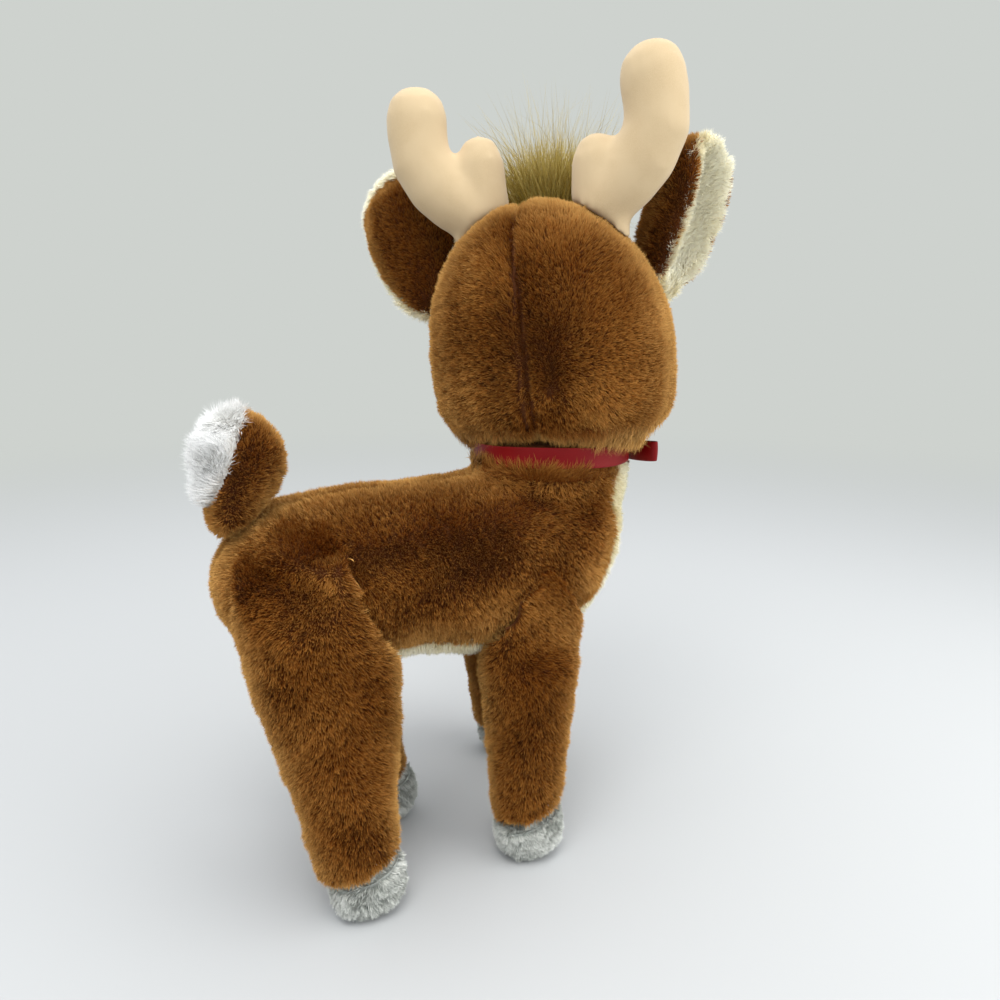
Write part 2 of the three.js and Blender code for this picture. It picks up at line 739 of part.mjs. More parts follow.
// Tail: a brown top and a long-haired white underside, standing up from the rump on a round root
const tailRootForward = 10;
const tailRootRise = 37;
const tailTipForward = 17;
const tailTipRise = 78;
const tailRootRadius = 10;
const tailFrontThickness = 20;
const tailBackThickness = 12;
const tailHalfWidth = 17;
const tailRoot = point(0, rumpY - tailRootForward, bodyMidHeight + tailRootRise);
const tailEnd = point(0, rumpY - tailTipForward, bodyMidHeight + tailTipRise);
const tailUpward = tailEnd.clone().sub(tailRoot).normalize();
const tailStart = tailRoot.clone().addScaledVector(tailUpward, -tailRootRadius);
const tailFlap = {
  from: tailStart,
  to: tailEnd,
  side: X,
  halfWidth: tailHalfWidth,
  widthShares: [0.7, 0.84, 0.98, 1, 0.9],
  frontThickness: tailFrontThickness,
  backThickness: tailBackThickness,
  thicknessShares: [0.5, 0.6, 0.95, 1, 0.9],
  startCapShare: tailRootRadius / tailEnd.distanceTo(tailStart),
  endCapShare: 0.36,
  rings: 9,
  arcSteps: 6,
};
piece('tail_top', 'brownPlush', solidOf(flapHalf(tailFlap, frontFace)), deer);
piece('tail_underside', 'whitePlush', solidOf(flapHalf(tailFlap, backFace)), deer);

// Ribbon: a band round the neck, and at the throat a small bow of two loops, a knot and two tails
const ribbonWidth = 10;
const ribbonThickness = 1.2;
const ribbonDrop = 16.5;
const ribbonEase = 0.8;
const loopHalfLength = 13;
const loopHalfDepth = 4.6;
const loopRiseDegrees = { right: 6, left: -6 };
const bowDrop = 3.5;
const knotHalfWidth = 4.2;
const knotHalfDepth = 3.6;
const ribbonEndLength = 24;
const ribbonEndNotch = 4;
const ribbonEndLeanDegrees = 6;
const rightEndShift = 8;
const leftEndShift = 18;
const ribbonBottom = neckTopHeight - ribbonDrop;

// A closed loop of ribbon on edge, seen from above as an oval
function ribbonRing(innerX, innerY) {
  const oval = new THREE.Shape();
  oval.absellipse(0, 0, innerX + ribbonThickness, innerY + ribbonThickness, 0, 2 * Math.PI);
  const hollow = new THREE.Path();
  hollow.absellipse(0, 0, innerX, innerY, 0, 2 * Math.PI);
  oval.holes.push(hollow);
  return new THREE.ExtrudeGeometry(oval, {
    depth: ribbonWidth, bevelEnabled: false, curveSegments: ribbonSteps,
  });
}

const bandX = neckHalfWidth + ribbonEase;
const bandY = neckHalfDepth + ribbonEase;
const band = ribbonRing(bandX, bandY);
band.translate(0, neckY, ribbonBottom);
const headOverRibbon = headClearance.transform(head.matrix.elements);
piece('ribbon_band', 'redSatin', solidOf(band).subtract(headOverRibbon).subtract(bodyClearance), deer);

const bowY = neckY - bandY - ribbonThickness - seamGap - knotHalfDepth;
const bowHeight = ribbonBottom + ribbonWidth / 2 - bowDrop;
const knot = new THREE.SphereGeometry(knotHalfDepth, 12, 8);
knot.scale(knotHalfWidth / knotHalfDepth, 1, ribbonWidth / 2 / knotHalfDepth);
knot.translate(0, bowY, bowHeight);
piece('bow_knot', 'redSatin', solidOf(knot), deer);
for (const hand of [-1, 1]) {
  const at = hand < 0 ? 'right' : 'left';
  const loop = ribbonRing(loopHalfLength - ribbonThickness, loopHalfDepth - ribbonThickness);
  loop.translate(hand * (knotHalfWidth + seamGap + loopHalfLength), 0, -ribbonWidth / 2);
  loop.rotateY(-hand * THREE.MathUtils.degToRad(loopRiseDegrees[at]));
  loop.translate(0, bowY, bowHeight);
  piece(`bow_loop_${at}`, 'redSatin', solidOf(loop), deer);
  const shift = hand < 0 ? rightEndShift : leftEndShift;
  const outline = new THREE.Shape();
  outline.moveTo(-ribbonWidth / 2, 0);
  outline.lineTo(ribbonWidth / 2, 0);
  outline.lineTo(ribbonWidth / 2 + shift, -ribbonEndLength);
  outline.lineTo(shift, ribbonEndNotch - ribbonEndLength);
  outline.lineTo(shift - ribbonWidth / 2, -ribbonEndLength);
  outline.closePath();
  const end = new THREE.ExtrudeGeometry(outline, { depth: ribbonThickness, bevelEnabled: false });
  end.rotateX(Math.PI / 2 - THREE.MathUtils.degToRad(ribbonEndLeanDegrees));
  end.translate(0, bowY + (hand < 0 ? 0 : -ribbonThickness - seamGap), bowHeight - ribbonWidth / 2 - 3 * seamGap);
  piece(`bow_end_${at}`, 'redSatin', solidOf(end), deer);
}

// The origin is under the middle of the whole toy, on the surface that it stands on
deer.updateMatrixWorld(true);
const bounds = new THREE.Box3().setFromObject(deer, true);
const middle = bounds.getCenter(point(0, 0, 0));
deer.position.set(-middle.x, -middle.y, -bounds.min.z);

export default deer;
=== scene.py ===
# %% [markdown]
# # A plush deer, dressed over its frame
#
# The frame is the deer's sewing plan: covers, filling, safety eyes and ribbon, each at its real size.
# This lesson dresses it. The cloth gets its stuffed shape from a pressure simulation, and the pile is
# made of real blades of mesh, because a plush toy is known by the edge that its pile draws and by
# the dark roots between the light tips, which no flat surface can show.

import json
import math

import bpy
import numpy as np
from mathutils import Matrix, Vector
from mathutils.bvhtree import BVHTree


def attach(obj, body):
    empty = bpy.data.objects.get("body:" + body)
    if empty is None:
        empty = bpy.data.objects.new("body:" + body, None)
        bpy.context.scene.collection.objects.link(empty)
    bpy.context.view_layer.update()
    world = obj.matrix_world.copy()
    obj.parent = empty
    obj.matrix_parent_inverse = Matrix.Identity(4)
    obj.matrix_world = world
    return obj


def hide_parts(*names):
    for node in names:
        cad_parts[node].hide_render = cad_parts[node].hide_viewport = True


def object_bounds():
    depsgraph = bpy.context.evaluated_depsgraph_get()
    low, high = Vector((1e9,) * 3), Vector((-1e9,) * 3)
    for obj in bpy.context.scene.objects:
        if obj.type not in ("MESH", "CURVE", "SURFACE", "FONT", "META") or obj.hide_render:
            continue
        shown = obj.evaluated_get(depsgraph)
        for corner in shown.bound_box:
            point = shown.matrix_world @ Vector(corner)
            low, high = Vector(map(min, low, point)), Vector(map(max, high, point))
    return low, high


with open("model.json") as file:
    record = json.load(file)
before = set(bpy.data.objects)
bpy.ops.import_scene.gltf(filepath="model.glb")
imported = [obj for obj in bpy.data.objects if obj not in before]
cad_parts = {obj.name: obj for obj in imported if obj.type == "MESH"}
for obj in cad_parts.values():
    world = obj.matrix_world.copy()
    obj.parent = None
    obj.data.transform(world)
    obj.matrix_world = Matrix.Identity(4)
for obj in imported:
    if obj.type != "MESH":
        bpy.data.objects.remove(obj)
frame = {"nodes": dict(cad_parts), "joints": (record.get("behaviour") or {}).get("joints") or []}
cad_low, cad_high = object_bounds()
nodes = frame["nodes"]
MM = 0.001
print("frame box in mm", [round(v / MM) for v in (*cad_low, *cad_high)])

# %% [markdown]
# ## Where things are
#
# The tail's hinge is a fixed point of the plan, so every place below is counted from it, in
# millimetres, along the deer's own axes. The head is sewn on turned to the deer's left, so it has a
# frame of its own, with its face towards -Y.

# %% Places
tail_joint = next(j for j in frame["joints"] if j["name"] == "tail_lift")
PLAN_TAIL = Vector((0, 99, 178))
plan_origin = Vector(tail_joint["pos_m"]) - PLAN_TAIL * MM


def place(x, y, z):
    return plan_origin + Vector((x, y, z)) * MM


HEAD_PLACE = (7, -61, 252)
HEAD_TURN, HEAD_TILT = math.radians(45.5), math.radians(4)
head_frame = (
    Matrix.Translation(place(*HEAD_PLACE))
    @ Matrix.Rotation(HEAD_TURN, 4, "Z")
    @ Matrix.Rotation(HEAD_TILT, 4, "Y")
)
head_turn = np.array(head_frame.to_3x3())
head_middle = np.array(head_frame.translation)
LEGS = ("hind_right", "hind_left", "front_right", "front_left")
SIDES = {"right": -1, "left": 1}
print("head middle in mm", [round(v / MM, 1) for v in head_middle])

# %% [markdown]
# ## The camera
#
# The photograph was taken from behind the deer's right haunch, a little above its back, with a wide
# lens. The camera is set before anything else, so that each piece can be judged as it is made.

# %% Camera
def add_object(name, data):
    obj = bpy.data.objects.new(name, data)
    bpy.context.scene.collection.objects.link(obj)
    return obj


CAMERA_FROM_TAIL = Vector((-335.3, 20.7, 77))
CAMERA_PITCH = math.radians(13)
LOOK_SIDE, LOOK_FORWARD = 0.9135, -0.4067
camera_data = bpy.data.cameras.new("camera")
camera_data.lens = 27.04
camera_data.sensor_width = 36
camera_data.clip_start = 0.01
camera = add_object("camera", camera_data)
camera.location = Vector(tail_joint["pos_m"]) + CAMERA_FROM_TAIL * MM
look = Vector((
    LOOK_SIDE * math.cos(CAMERA_PITCH),
    LOOK_FORWARD * math.cos(CAMERA_PITCH),
    -math.sin(CAMERA_PITCH),
))
camera.rotation_euler = look.to_track_quat("-Z", "Y").to_euler()
bpy.context.scene.camera = camera

# %% [markdown]
# ## Small tools for working on meshes
#
# Blender's operators act on everything that is selected, and the frame arrives selected, so each
# step starts by deselecting all. The arrays let thousands of points be moved at once.

# %% Mesh tools
def belongs(obj, body, node=None):
    """Say which body a piece rides on and which node it stands for."""
    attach(obj, body)
    if node:
        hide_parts(node)
    return obj


def take(obj):
    bpy.ops.object.select_all(action="DESELECT")
    obj.select_set(True)
    bpy.context.view_layer.objects.active = obj


def soften(obj, times):
    ease = obj.modifiers.new("ease", "SMOOTH")
    ease.factor, ease.iterations = 0.5, times


def subdivide(obj):
    fine = obj.modifiers.new("fine", "SUBSURF")
    fine.levels = fine.render_levels = 1


def apply_modifiers(obj):
    take(obj)
    for modifier in list(obj.modifiers):
        bpy.ops.object.modifier_apply(modifier=modifier.name)


def points_of(obj):
    co = np.empty(len(obj.data.vertices) * 3)
    obj.data.vertices.foreach_get("co", co)
    return co.reshape(-1, 3)


def flat(values):
    return np.asarray(values, np.float32).ravel()


def set_points(obj, co):
    obj.data.vertices.foreach_set("co", flat(co))
    obj.data.update()


def normals_of(obj):
    found = np.empty(len(obj.data.vertices) * 3)
    obj.data.vertex_normals.foreach_get("vector", found)
    return found.reshape(-1, 3)


def triangles_of(obj):
    obj.data.calc_loop_triangles()
    corners = np.empty(len(obj.data.loop_triangles) * 3, np.int32)
    obj.data.loop_triangles.foreach_get("vertices", corners)
    return corners.reshape(-1, 3)


def unit(vectors):
    return vectors / np.maximum(np.linalg.norm(vectors, axis=-1, keepdims=True), 1e-12)


def drift(points, scale, seed, waves=9):
    """A smooth random value, mostly from -1 to 1, that changes over about a length of scale."""
    rng = np.random.default_rng(seed)
    total = np.zeros(len(points))
    for _ in range(waves):
        heading = unit(rng.normal(size=3)) * 2 * math.pi / (scale * rng.uniform(0.7, 1.6))
        total += np.sin(points @ heading + rng.uniform(0, 2 * math.pi))
    return total * (2 / waves) ** 0.5


def drift_vector(points, scale, seed):
    return np.stack([drift(points, scale, seed + k) for k in range(3)], 1)


def fading(gap, reach):
    """1 at a gap of 0, falling to 0 over about the reach in millimetres."""
    return np.exp(-(np.maximum(gap, 0) / (reach * MM)) ** 2)


def tree_of(*objects):
    verts, faces = [], []
    for obj in objects:
        faces += (triangles_of(obj) + len(verts)).tolist()
        verts += points_of(obj).tolist()
    return BVHTree.FromPolygons(verts, faces)


UPWARDS = Vector((0.31, 0.17, 0.94)).normalized()
MOST_CROSSINGS, RAY_STEP = 20, 1e-6


def is_inside(point, tree):
    """A ray from inside a closed form crosses its surface an odd number of times."""
    crossings, start = 0, point
    while crossings < MOST_CROSSINGS:
        start = tree.ray_cast(start, UPWARDS)[0]
        if start is None:
            break
        crossings += 1
        start = start + UPWARDS * RAY_STEP
    return crossings % 2 == 1


def gap_to(points, tree):
    """How far each point is outside a surface; below zero it is inside."""
    gaps = np.empty(len(points))
    for i, p in enumerate(points):
        p = Vector(p)
        spot, normal, _, far = tree.find_nearest(p)
        inside = (p - spot).dot(normal) < 0 and is_inside(p, tree)
        gaps[i] = -far if inside else far
    return gaps


# %% [markdown]
# ## Finishes
#
# Pile is lightest at its tips and darkest at its roots, and no two blades have quite the same dye. So
# each blade carries a map of its own: across it runs the blade's shade and along it the way from root
# to tip. One node group turns that map into a colour, and each plush gives it three colours of its
# own. The cloth under the pile, the velour of the antlers and the satin use noise in real
# millimetres.

# %% Node helpers
def linear(code):
    parts = [int(code[i:i + 2], 16) / 255 for i in (0, 2, 4)]
    return (*[c / 12.92 if c <= 0.04045 else ((c + 0.055) / 1.055) ** 2.4 for c in parts], 1)


def new_group(name, inputs, outputs):
    group = bpy.data.node_groups.new(name, "ShaderNodeTree")
    for label, kind, value in inputs:
        socket = group.interface.new_socket(label, in_out="INPUT", socket_type=kind)
        socket.default_value = value
    for label, kind in outputs:
        group.interface.new_socket(label, in_out="OUTPUT", socket_type=kind)
    return group, group.nodes.new("NodeGroupInput"), group.nodes.new("NodeGroupOutput")


def feed(tree, value, socket):
    """Give a socket a plain value, or link it to the socket that feeds it."""
    if isinstance(value, bpy.types.NodeSocket):
        tree.links.new(value, socket)
    else:
        socket.default_value = value


def add_node(tree, kind, values=(), **settings):
    node = tree.nodes.new(kind)
    for key, value in settings.items():
        setattr(node, key, value)
    for socket, value in values:
        feed(tree, value, node.inputs[socket])
    return node


def mix_colours(tree, factor, first, second, blend="MIX"):
    """A colour mix; each argument is a socket or a plain value."""
    return add_node(tree, "ShaderNodeMix", [(0, factor), (6, first), (7, second)],
                    data_type="RGBA", blend_type=blend).outputs[2]


def multiply(tree, first, second):
    return add_node(tree, "ShaderNodeMath", [(0, first), (1, second)], operation="MULTIPLY").outputs[0]


def ramp_between(tree, value, low, high):
    """0 below low, 1 above high and a smooth run between."""
    return add_node(tree, "ShaderNodeMapRange", [(0, value), (1, low), (2, high)],
                    interpolation_type="SMOOTHSTEP").outputs[0]


def noise(tree, scale, detail=2, place_by=None):
    """Noise in the object's own coordinates, or in the node's default ones."""
    values = [("Scale", scale), ("Detail", detail)]
    if place_by:
        values.append(("Vector", place_by))
    return add_node(tree, "ShaderNodeTexNoise", values).outputs[0]


# %% Pile colour group
PILE_MAP = "OFBake"
CLOTH_NORMAL = "cloth_normal"
DYES = ("Root", "Body", "Tip", "Deep")
WHITE = (1, 1, 1, 1)
pile_colour, pile_in, pile_out = new_group(
    "pile colour",
    [(dye, "NodeSocketColor", WHITE) for dye in DYES] + [("Spread", "NodeSocketFloat", 0.5)],
    [("Color", "NodeSocketColor"), ("Roughness", "NodeSocketFloat")],
)
root, body, tip, deep, spread = pile_in.outputs[:5]
blade_map = add_node(pile_colour, "ShaderNodeUVMap", uv_map=PILE_MAP)
split_map = add_node(pile_colour, "ShaderNodeSeparateXYZ", [(0, blade_map.outputs[0])])
shade, along = split_map.outputs[0], split_map.outputs[1]
low_part = mix_colours(pile_colour, ramp_between(pile_colour, along, 0.05, 0.55), root, body)
whole_blade = mix_colours(pile_colour, ramp_between(pile_colour, along, 0.45, 1), low_part, tip)
dark_blade = mix_colours(pile_colour, 1.0, whole_blade, deep, "MULTIPLY")
dyed = mix_colours(pile_colour, shade, dark_blade, whole_blade)
lightest = multiply(pile_colour, spread, ramp_between(pile_colour, shade, 0.55, 1))
feed(pile_colour, mix_colours(pile_colour, lightest, dyed, tip), pile_out.inputs[0])
gloss = add_node(pile_colour, "ShaderNodeMapRange", [(0, along), (3, 0.62), (4, 0.5)])
feed(pile_colour, gloss.outputs[0], pile_out.inputs[1])


# %% Materials
def new_material(name, colour="808080", roughness=0.7, specular=0.3, **plain):
    material = bpy.data.materials.new(name)
    material.use_nodes = True
    shader = material.node_tree.nodes["Principled BSDF"]
    shader.inputs["Base Color"].default_value = linear(colour)
    shader.inputs["Roughness"].default_value = roughness
    shader.inputs["Specular IOR Level"].default_value = specular
    for socket, value in plain.items():
        shader.inputs[socket.replace("_", " ")].default_value = value
    return material, material.node_tree, shader


def pile_material(name, root, body, tip, deep, spread=0.5, facing_shade=(1, 1, 1), edge=0.0, **plain):
    """Pile that is coloured from root to tip; deep is what the darkest blades are multiplied by.

    Where one looks straight into the pile, facing_shade multiplies its colour, as painted shade for
    the dark roots and the shade between the blades. Along the outline only tips are seen, and edge
    says how much a painted rim highlight lightens it.
    """
    material, tree, shader = new_material(name, body, **plain)
    group = add_node(tree, "ShaderNodeGroup")
    group.node_tree = pile_colour
    for dye, code in zip(DYES, (root, body, tip, deep)):
        group.inputs[dye].default_value = linear(code)
    group.inputs["Spread"].default_value = spread
    colour = group.outputs["Color"]
    # Painted light: darker where the pile faces the camera, lighter along the outline as a painted rim
    # highlight.
    if edge:
        cloth = add_node(tree, "ShaderNodeAttribute", attribute_name=CLOTH_NORMAL)
        upright = add_node(
            tree, "ShaderNodeVectorTransform", [(0, cloth.outputs["Vector"])], vector_type="NORMAL",
            convert_from="OBJECT", convert_to="WORLD")
        slant = add_node(
            tree, "ShaderNodeLayerWeight", [("Blend", 0.5), ("Normal", upright.outputs[0])])
        facing = slant.outputs["Facing"]
        shaded_pile = mix_colours(tree, 1.0, colour, (*facing_shade, 1), "MULTIPLY")
        colour = mix_colours(tree, ramp_between(tree, facing, 0.05, 0.6), shaded_pile, colour)
        rim = multiply(tree, ramp_between(tree, facing, 0.35, 1.0), edge)
        colour = mix_colours(tree, rim, colour, linear(tip))
    feed(tree, colour, shader.inputs["Base Color"])
    feed(tree, group.outputs["Roughness"], shader.inputs["Roughness"])
    return material


def cloth_material(name, base, other, grain, roughness=0.9, bump=0.3, **plain):
    """Plain cloth: two tones of dye in soft patches, with a fine grain of millimetres."""
    material, tree, shader = new_material(name, base, roughness, **plain)
    place_by = add_node(tree, "ShaderNodeTexCoord").outputs["Object"]
    patches, grains = noise(tree, 60, 3, place_by), noise(tree, 1 / (grain * MM), 4, place_by)
    toned = mix_colours(tree, ramp_between(tree, patches, 0.35, 0.65), linear(base), linear(other))
    speckled = mix_colours(tree, ramp_between(tree, grains, 0.3, 0.75), toned, linear(other))
    feed(tree, speckled, shader.inputs["Base Color"])
    relief = add_node(
        tree, "ShaderNodeBump", [("Strength", bump), ("Distance", 0.3 * MM), ("Height", grains)])
    feed(tree, relief.outputs[0], shader.inputs["Normal"])
    return material


# The brown pile gets painted shade where it faces the camera and a painted rim highlight along its
# outline.
brown_pile = pile_material(
    "brown pile", "42210b", "975e22", "dcab62", "b89e7e", facing_shade=(0.77, 0.66, 0.52), edge=0.85,
    specular=0.08)
cream_pile = pile_material("cream pile", "f4e8c4", "fff6d8", "fffdec", "f6f0dc")
white_pile = pile_material("white pile", "f6f5f0", "fdfdfa", "ffffff", "f6f6f4")
grey_pile = pile_material("grey pile", "9a9f9a", "bfc3bd", "ecede8", "cfd2ce")
gold_hair = pile_material("gold hair", "61490f", "a58b2e", "dccb80", "cbc3a4")
brown_cloth = cloth_material("brown cloth", "522b12", "653a1a", 0.8)
cream_cloth = cloth_material("cream cloth", "f6ecca", "fdf5dc", 0.8)
white_cloth = cloth_material("white cloth", "f0efea", "fbfaf7", 0.8)
grey_cloth = cloth_material("grey cloth", "9ea29d", "b4b8b2", 0.8)
velour_cloth = cloth_material(
    "velour", "c6ae88", "cfb893", 0.3, bump=0.25, Sheen_Weight=0.2, Sheen_Roughness=0.5)
filling_cloth = cloth_material("filling", "e9e8e4", "f7f6f3", 1.5)
satin = cloth_material("satin", "6c0306", "7c050a", 0.25, roughness=0.45, bump=0.12, specular=0.18)
print("materials:", len(bpy.data.materials))

# %% [markdown]
# ## Stuffed cloth
#
# A stuffed cover is round between its seams and pulled in along them. The plan's solids are copied,
# melted into one closed skin with a voxel remesh and softened. Then the filling presses outwards in a
# cloth simulation while the seam lines are pinned, so the panels swell and the seams stay as
# valleys. A cap keeps each point close to the plan.

# %% Skins
def seam_weights(points, lines):
    """How strongly each point is held by a seam; a line is (distance of points, half width in mm)."""
    held = np.zeros(len(points))
    for distance, half_width in lines:
        held = np.maximum(held, fading(distance(points), half_width))
    return held


def plump(skin, held, cap, pressure=4.0, frames=14):
    """Filling presses the skin outwards for some frames, and no point moves more than cap."""
    start = points_of(skin)
    group = skin.vertex_groups.new(name="seams")
    for i in np.flatnonzero(held > 0.5):
        group.add([int(i)], 1.0, "REPLACE")
    cloth = skin.modifiers.new("filling", "CLOTH")
    settings = cloth.settings
    settings.use_pressure = True
    settings.uniform_pressure_force = pressure
    settings.effector_weights.gravity = 0
    settings.vertex_group_mass = "seams"
    settings.quality = 4
    cloth.point_cache.frame_start, cloth.point_cache.frame_end = 1, frames
    for number in range(1, frames + 1):
        bpy.context.scene.frame_set(number)
    evaluated = skin.evaluated_get(bpy.context.evaluated_depsgraph_get())
    moved = points_of(evaluated) - start
    skin.modifiers.remove(cloth)
    skin.vertex_groups.remove(group)
    bpy.context.scene.frame_set(1)
    far = np.linalg.norm(moved, axis=1, keepdims=True)
    moved *= np.minimum(1, cap * MM / np.maximum(far, 1e-12))
    set_points(skin, start + moved)
    print(f"{skin.name}: filled, moved {float(far.max()) / MM:.1f} mm before the cap")


def cloth_copy(name, node_names):
    """The named solids as one mesh, with the vertices that their faces share joined."""
    copies = [add_object(name, nodes[node_name].data.copy()) for node_name in node_names]
    take(copies[0])
    for copy in copies[1:]:
        copy.select_set(True)
    if len(copies) > 1:
        bpy.ops.object.join()
    bpy.ops.object.mode_set(mode="EDIT")
    bpy.ops.mesh.select_all(action="SELECT")
    bpy.ops.mesh.remove_doubles(threshold=0.001 * MM)
    bpy.ops.object.mode_set(mode="OBJECT")
    copies[0].data.materials.clear()
    return copies[0]


FLOOR_TOUCH = 2 * MM
SWELL = 0.7
COARSE_VOXEL = 4


def stuffed_skin(name, node_names, cloth, voxel, times, lines=(), cap=0.0, groove=0.0, inset=0.0):
    """One closed skin over the named solids, filled by simulation and drawn in at its seams.

    It stands for the first of them. A skin under long pile starts smaller, by inset, so that the
    pile ends where the plan does, and a skin that will swell starts smaller by a share of the cap.
    """
    skin = cloth_copy(name, node_names)
    skin.modifiers.new("melt", "REMESH").mode = "VOXEL"
    skin.modifiers["melt"].voxel_size = voxel * MM
    soften(skin, times)
    apply_modifiers(skin)
    inset += SWELL * cap
    if inset:
        full = points_of(skin)
        points = full - normals_of(skin) * inset * MM
        on_floor = full[:, 2] < FLOOR_TOUCH
        points[on_floor, 2] = full[on_floor, 2]
        set_points(skin, points)
    held = seam_weights(points_of(skin), lines)
    if cap:
        plump(skin, held, cap)
    if lines:
        set_points(skin, points_of(skin) - normals_of(skin) * held[:, None] * groove * MM)
    if voxel < COARSE_VOXEL:
        subdivide(skin)
        apply_modifiers(skin)
    take(skin)
    bpy.ops.object.shade_smooth()
    skin.data.materials.append(cloth)
    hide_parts(node_names[0])
    print(f"{name}: {len(skin.data.polygons)} faces")
    return skin


# %% [markdown]
# ### The torso
#
# The torso is one tube of plush from rump to neck, cut as two side panels that meet along the back,
# with a cream strip let in from the throat to the belly. The back seam shows as a fine dark line.

# %% Torso
seam_plane = plan_origin.x


def back_seam(points):
    over = np.maximum(0, plan_origin.z + 150 * MM - points[:, 2])
    return np.abs(points[:, 0] - seam_plane) + over


body_skin = stuffed_skin(
    "body_skin", ["body_cover", "belly_panel", "body_stuffing"], brown_cloth, 3.6, 3,
    [(back_seam, 2.5)], cap=2.0, groove=0.9, inset=1.2)
body_filling = stuffed_skin("body_filling", ["body_stuffing"], filling_cloth, 4.5, 2, inset=2.4)

# %% [markdown]
# ### Legs
#
# Each leg is a stuffed sleeve that stands under its side of the body. Its two seams run down the
# front and the back, and the hem ends in a slanting line above the hoof.

# %% Legs
THIGH_EDGE_HEIGHTS, THIGH_EDGE = (118, 140, 154, 166), (32, 42, 54, 78)
FOLD_WIDTH, FOLD_HEIGHT = 12, 6.0


def tuck_top(skin, tree, under=0.0, blend=48.0, most=15.0, edge=0.0):
    """Draw the top of a leg into the body, so that the thigh grows out of the side without a step.

    The front edge of a thigh stays proud of the flank by edge, where the panel is folded over.
    """
    points = points_of(skin)
    top = points[:, 2].max()
    for i, p in enumerate(points):
        share = min(max(1 - (top - p[2]) / (blend * MM), 0), 1)
        if share > 0:
            spot, normal, _, far = tree.find_nearest(Vector(p))
            own = (Vector(p) - plan_origin) / MM
            behind_edge = own.y - np.interp(own.z, THIGH_EDGE_HEIGHTS, THIGH_EDGE)
            proud = edge * math.exp(-(behind_edge / FOLD_WIDTH) ** 2) * (1 - share ** 3)
            allowed = (0.3 + most * (1 - share) ** 2 + proud - under) * MM
            if (Vector(p) - spot).dot(normal) > 0 and far > allowed:
                points[i] += np.array(spot - Vector(p)) * (1 - allowed / far)
    set_points(skin, points)


body_tree = tree_of(body_skin)
leg_skins, leg_fillings, leg_keeps, full_legs = {}, {}, {}, {}
for leg in LEGS:
    skin = stuffed_skin(f"leg_skin_{leg}", [f"leg_cover_{leg}", f"leg_stuffing_{leg}"],
                        brown_cloth, 3.4, 3, cap=1.5, inset=1.6)
    points = points_of(skin)
    full_legs[leg] = tree_of(skin)
    leg_keeps[leg] = np.abs(gap_to(points, tree_of(nodes[f"leg_cover_{leg}"]))) < 5 * MM
    leg_keeps[leg] &= gap_to(points, body_tree) > -0.8 * MM
    tuck_top(skin, body_tree, edge=FOLD_HEIGHT * ("hind" in leg))
    soften(skin, 8)
    apply_modifiers(skin)
    leg_skins[leg] = skin
    filling = stuffed_skin(f"leg_filling_{leg}", [f"leg_stuffing_{leg}"], filling_cloth, 4.5, 2)
    tuck_top(filling, body_tree, under=2.0)
    leg_fillings[leg] = filling

# %% [markdown]
# ### Head and snout
#
# The head is a round cushion with one seam down the middle of its back, where the pile parts and the
# dark ground shows. The snout is a cream cup sewn over the front.

# %% Head and snout
def in_head(points):
    """Points in the head's own frame, in millimetres."""
    return (points - head_middle) @ head_turn / MM


NAPE_HEIGHTS = (-60, -29, 14, 56)
NAPE_OFFSETS = (-1.5, -3.8, -2.5, 4.6)


def nape_side(own):
    """How far each point is from the seam, to the deer's left of it, in millimetres."""
    return own[:, 0] - np.interp(own[:, 2], NAPE_HEIGHTS, NAPE_OFFSETS)


def nape_seam(points):
    own = in_head(points)
    return (np.abs(nape_side(own)) + np.maximum(0, -own[:, 1])) * MM


head_skin = stuffed_skin(
    "head_skin", ["head_cover", "head_stuffing"], brown_cloth, 3.4, 3, [(nape_seam, 2.6)],
    cap=1.5, groove=2.0, inset=2.0)
head_filling = stuffed_skin("head_filling", ["head_stuffing"], filling_cloth, 4.5, 2, inset=4.2)
snout_skin = stuffed_skin("snout_skin", ["snout_cover"], cream_cloth, 2.2, 2)

# %% [markdown]
# ### Antlers, ears, tail and hooves
#
# The smaller stuffed parts are made in the same way, with finer voxels so that their thin shapes
# last through the remesh.

# %% Smaller stuffed parts
ear_backs, ear_linings, antler_skins, hoof_skins = {}, {}, {}, {}
for side in SIDES:
    for kind, made, cloth, voxel, times in (
        ("antler", antler_skins, velour_cloth, 2.2, 6),
        ("ear_back", ear_backs, brown_cloth, 2.1, 2),
        ("ear_lining", ear_linings, cream_cloth, 2.1, 2),
    ):
        name = f"{kind}_skin_{side}"
        made[side] = stuffed_skin(name, [f"{kind}_{side}"], cloth, voxel, times)
for leg in LEGS:
    hoof_skins[leg] = stuffed_skin(
        f"hoof_skin_{leg}", [f"hoof_{leg}"], grey_cloth, 2.0, 2, inset=3.0)
tail_skin = stuffed_skin("tail_skin", ["tail_top", "tail_underside"], brown_cloth, 2.4, 3)

# %% [markdown]
# ## Pile
#
# Knitted pile is cut to one length and brushed one way. Every blade here is half a leaf, one thin
# triangle, or a ribbon of a few triangles where the pile is shaggy. It starts under the cloth, stands
# up and bends over in the combed direction. Neighbours share a slow random turn, so the nap has
# brushed patches, and tips draw together in small tufts.

# %% Growing pile
# Millimetres under the cloth, the share of its height where a blade is widest, and radians.
SINK, WIDEST, WOBBLE = 0.6, 0.6, 0.14
# The sizes in millimetres of the slow changes in a coat.
BRUSHED_PATCH, SHADE_PATCH, LENGTH_PATCH, TUFT_SPACING = 30.8, 34, 11, 3.2


def grow_mask(skin, own_nodes, reach=4.0, clear_of=(), not_near=()):
    """Which vertices of a skin carry pile: those close to their own cover, not inside another form."""
    points = points_of(skin)
    keep = np.abs(gap_to(points, tree_of(*[nodes[n] for n in own_nodes]))) < reach * MM
    for other, least in clear_of:
        keep &= gap_to(points, tree_of(other)) > least * MM
    for other, least in not_near:
        keep &= np.abs(gap_to(points, tree_of(other))) > least * MM
    return keep


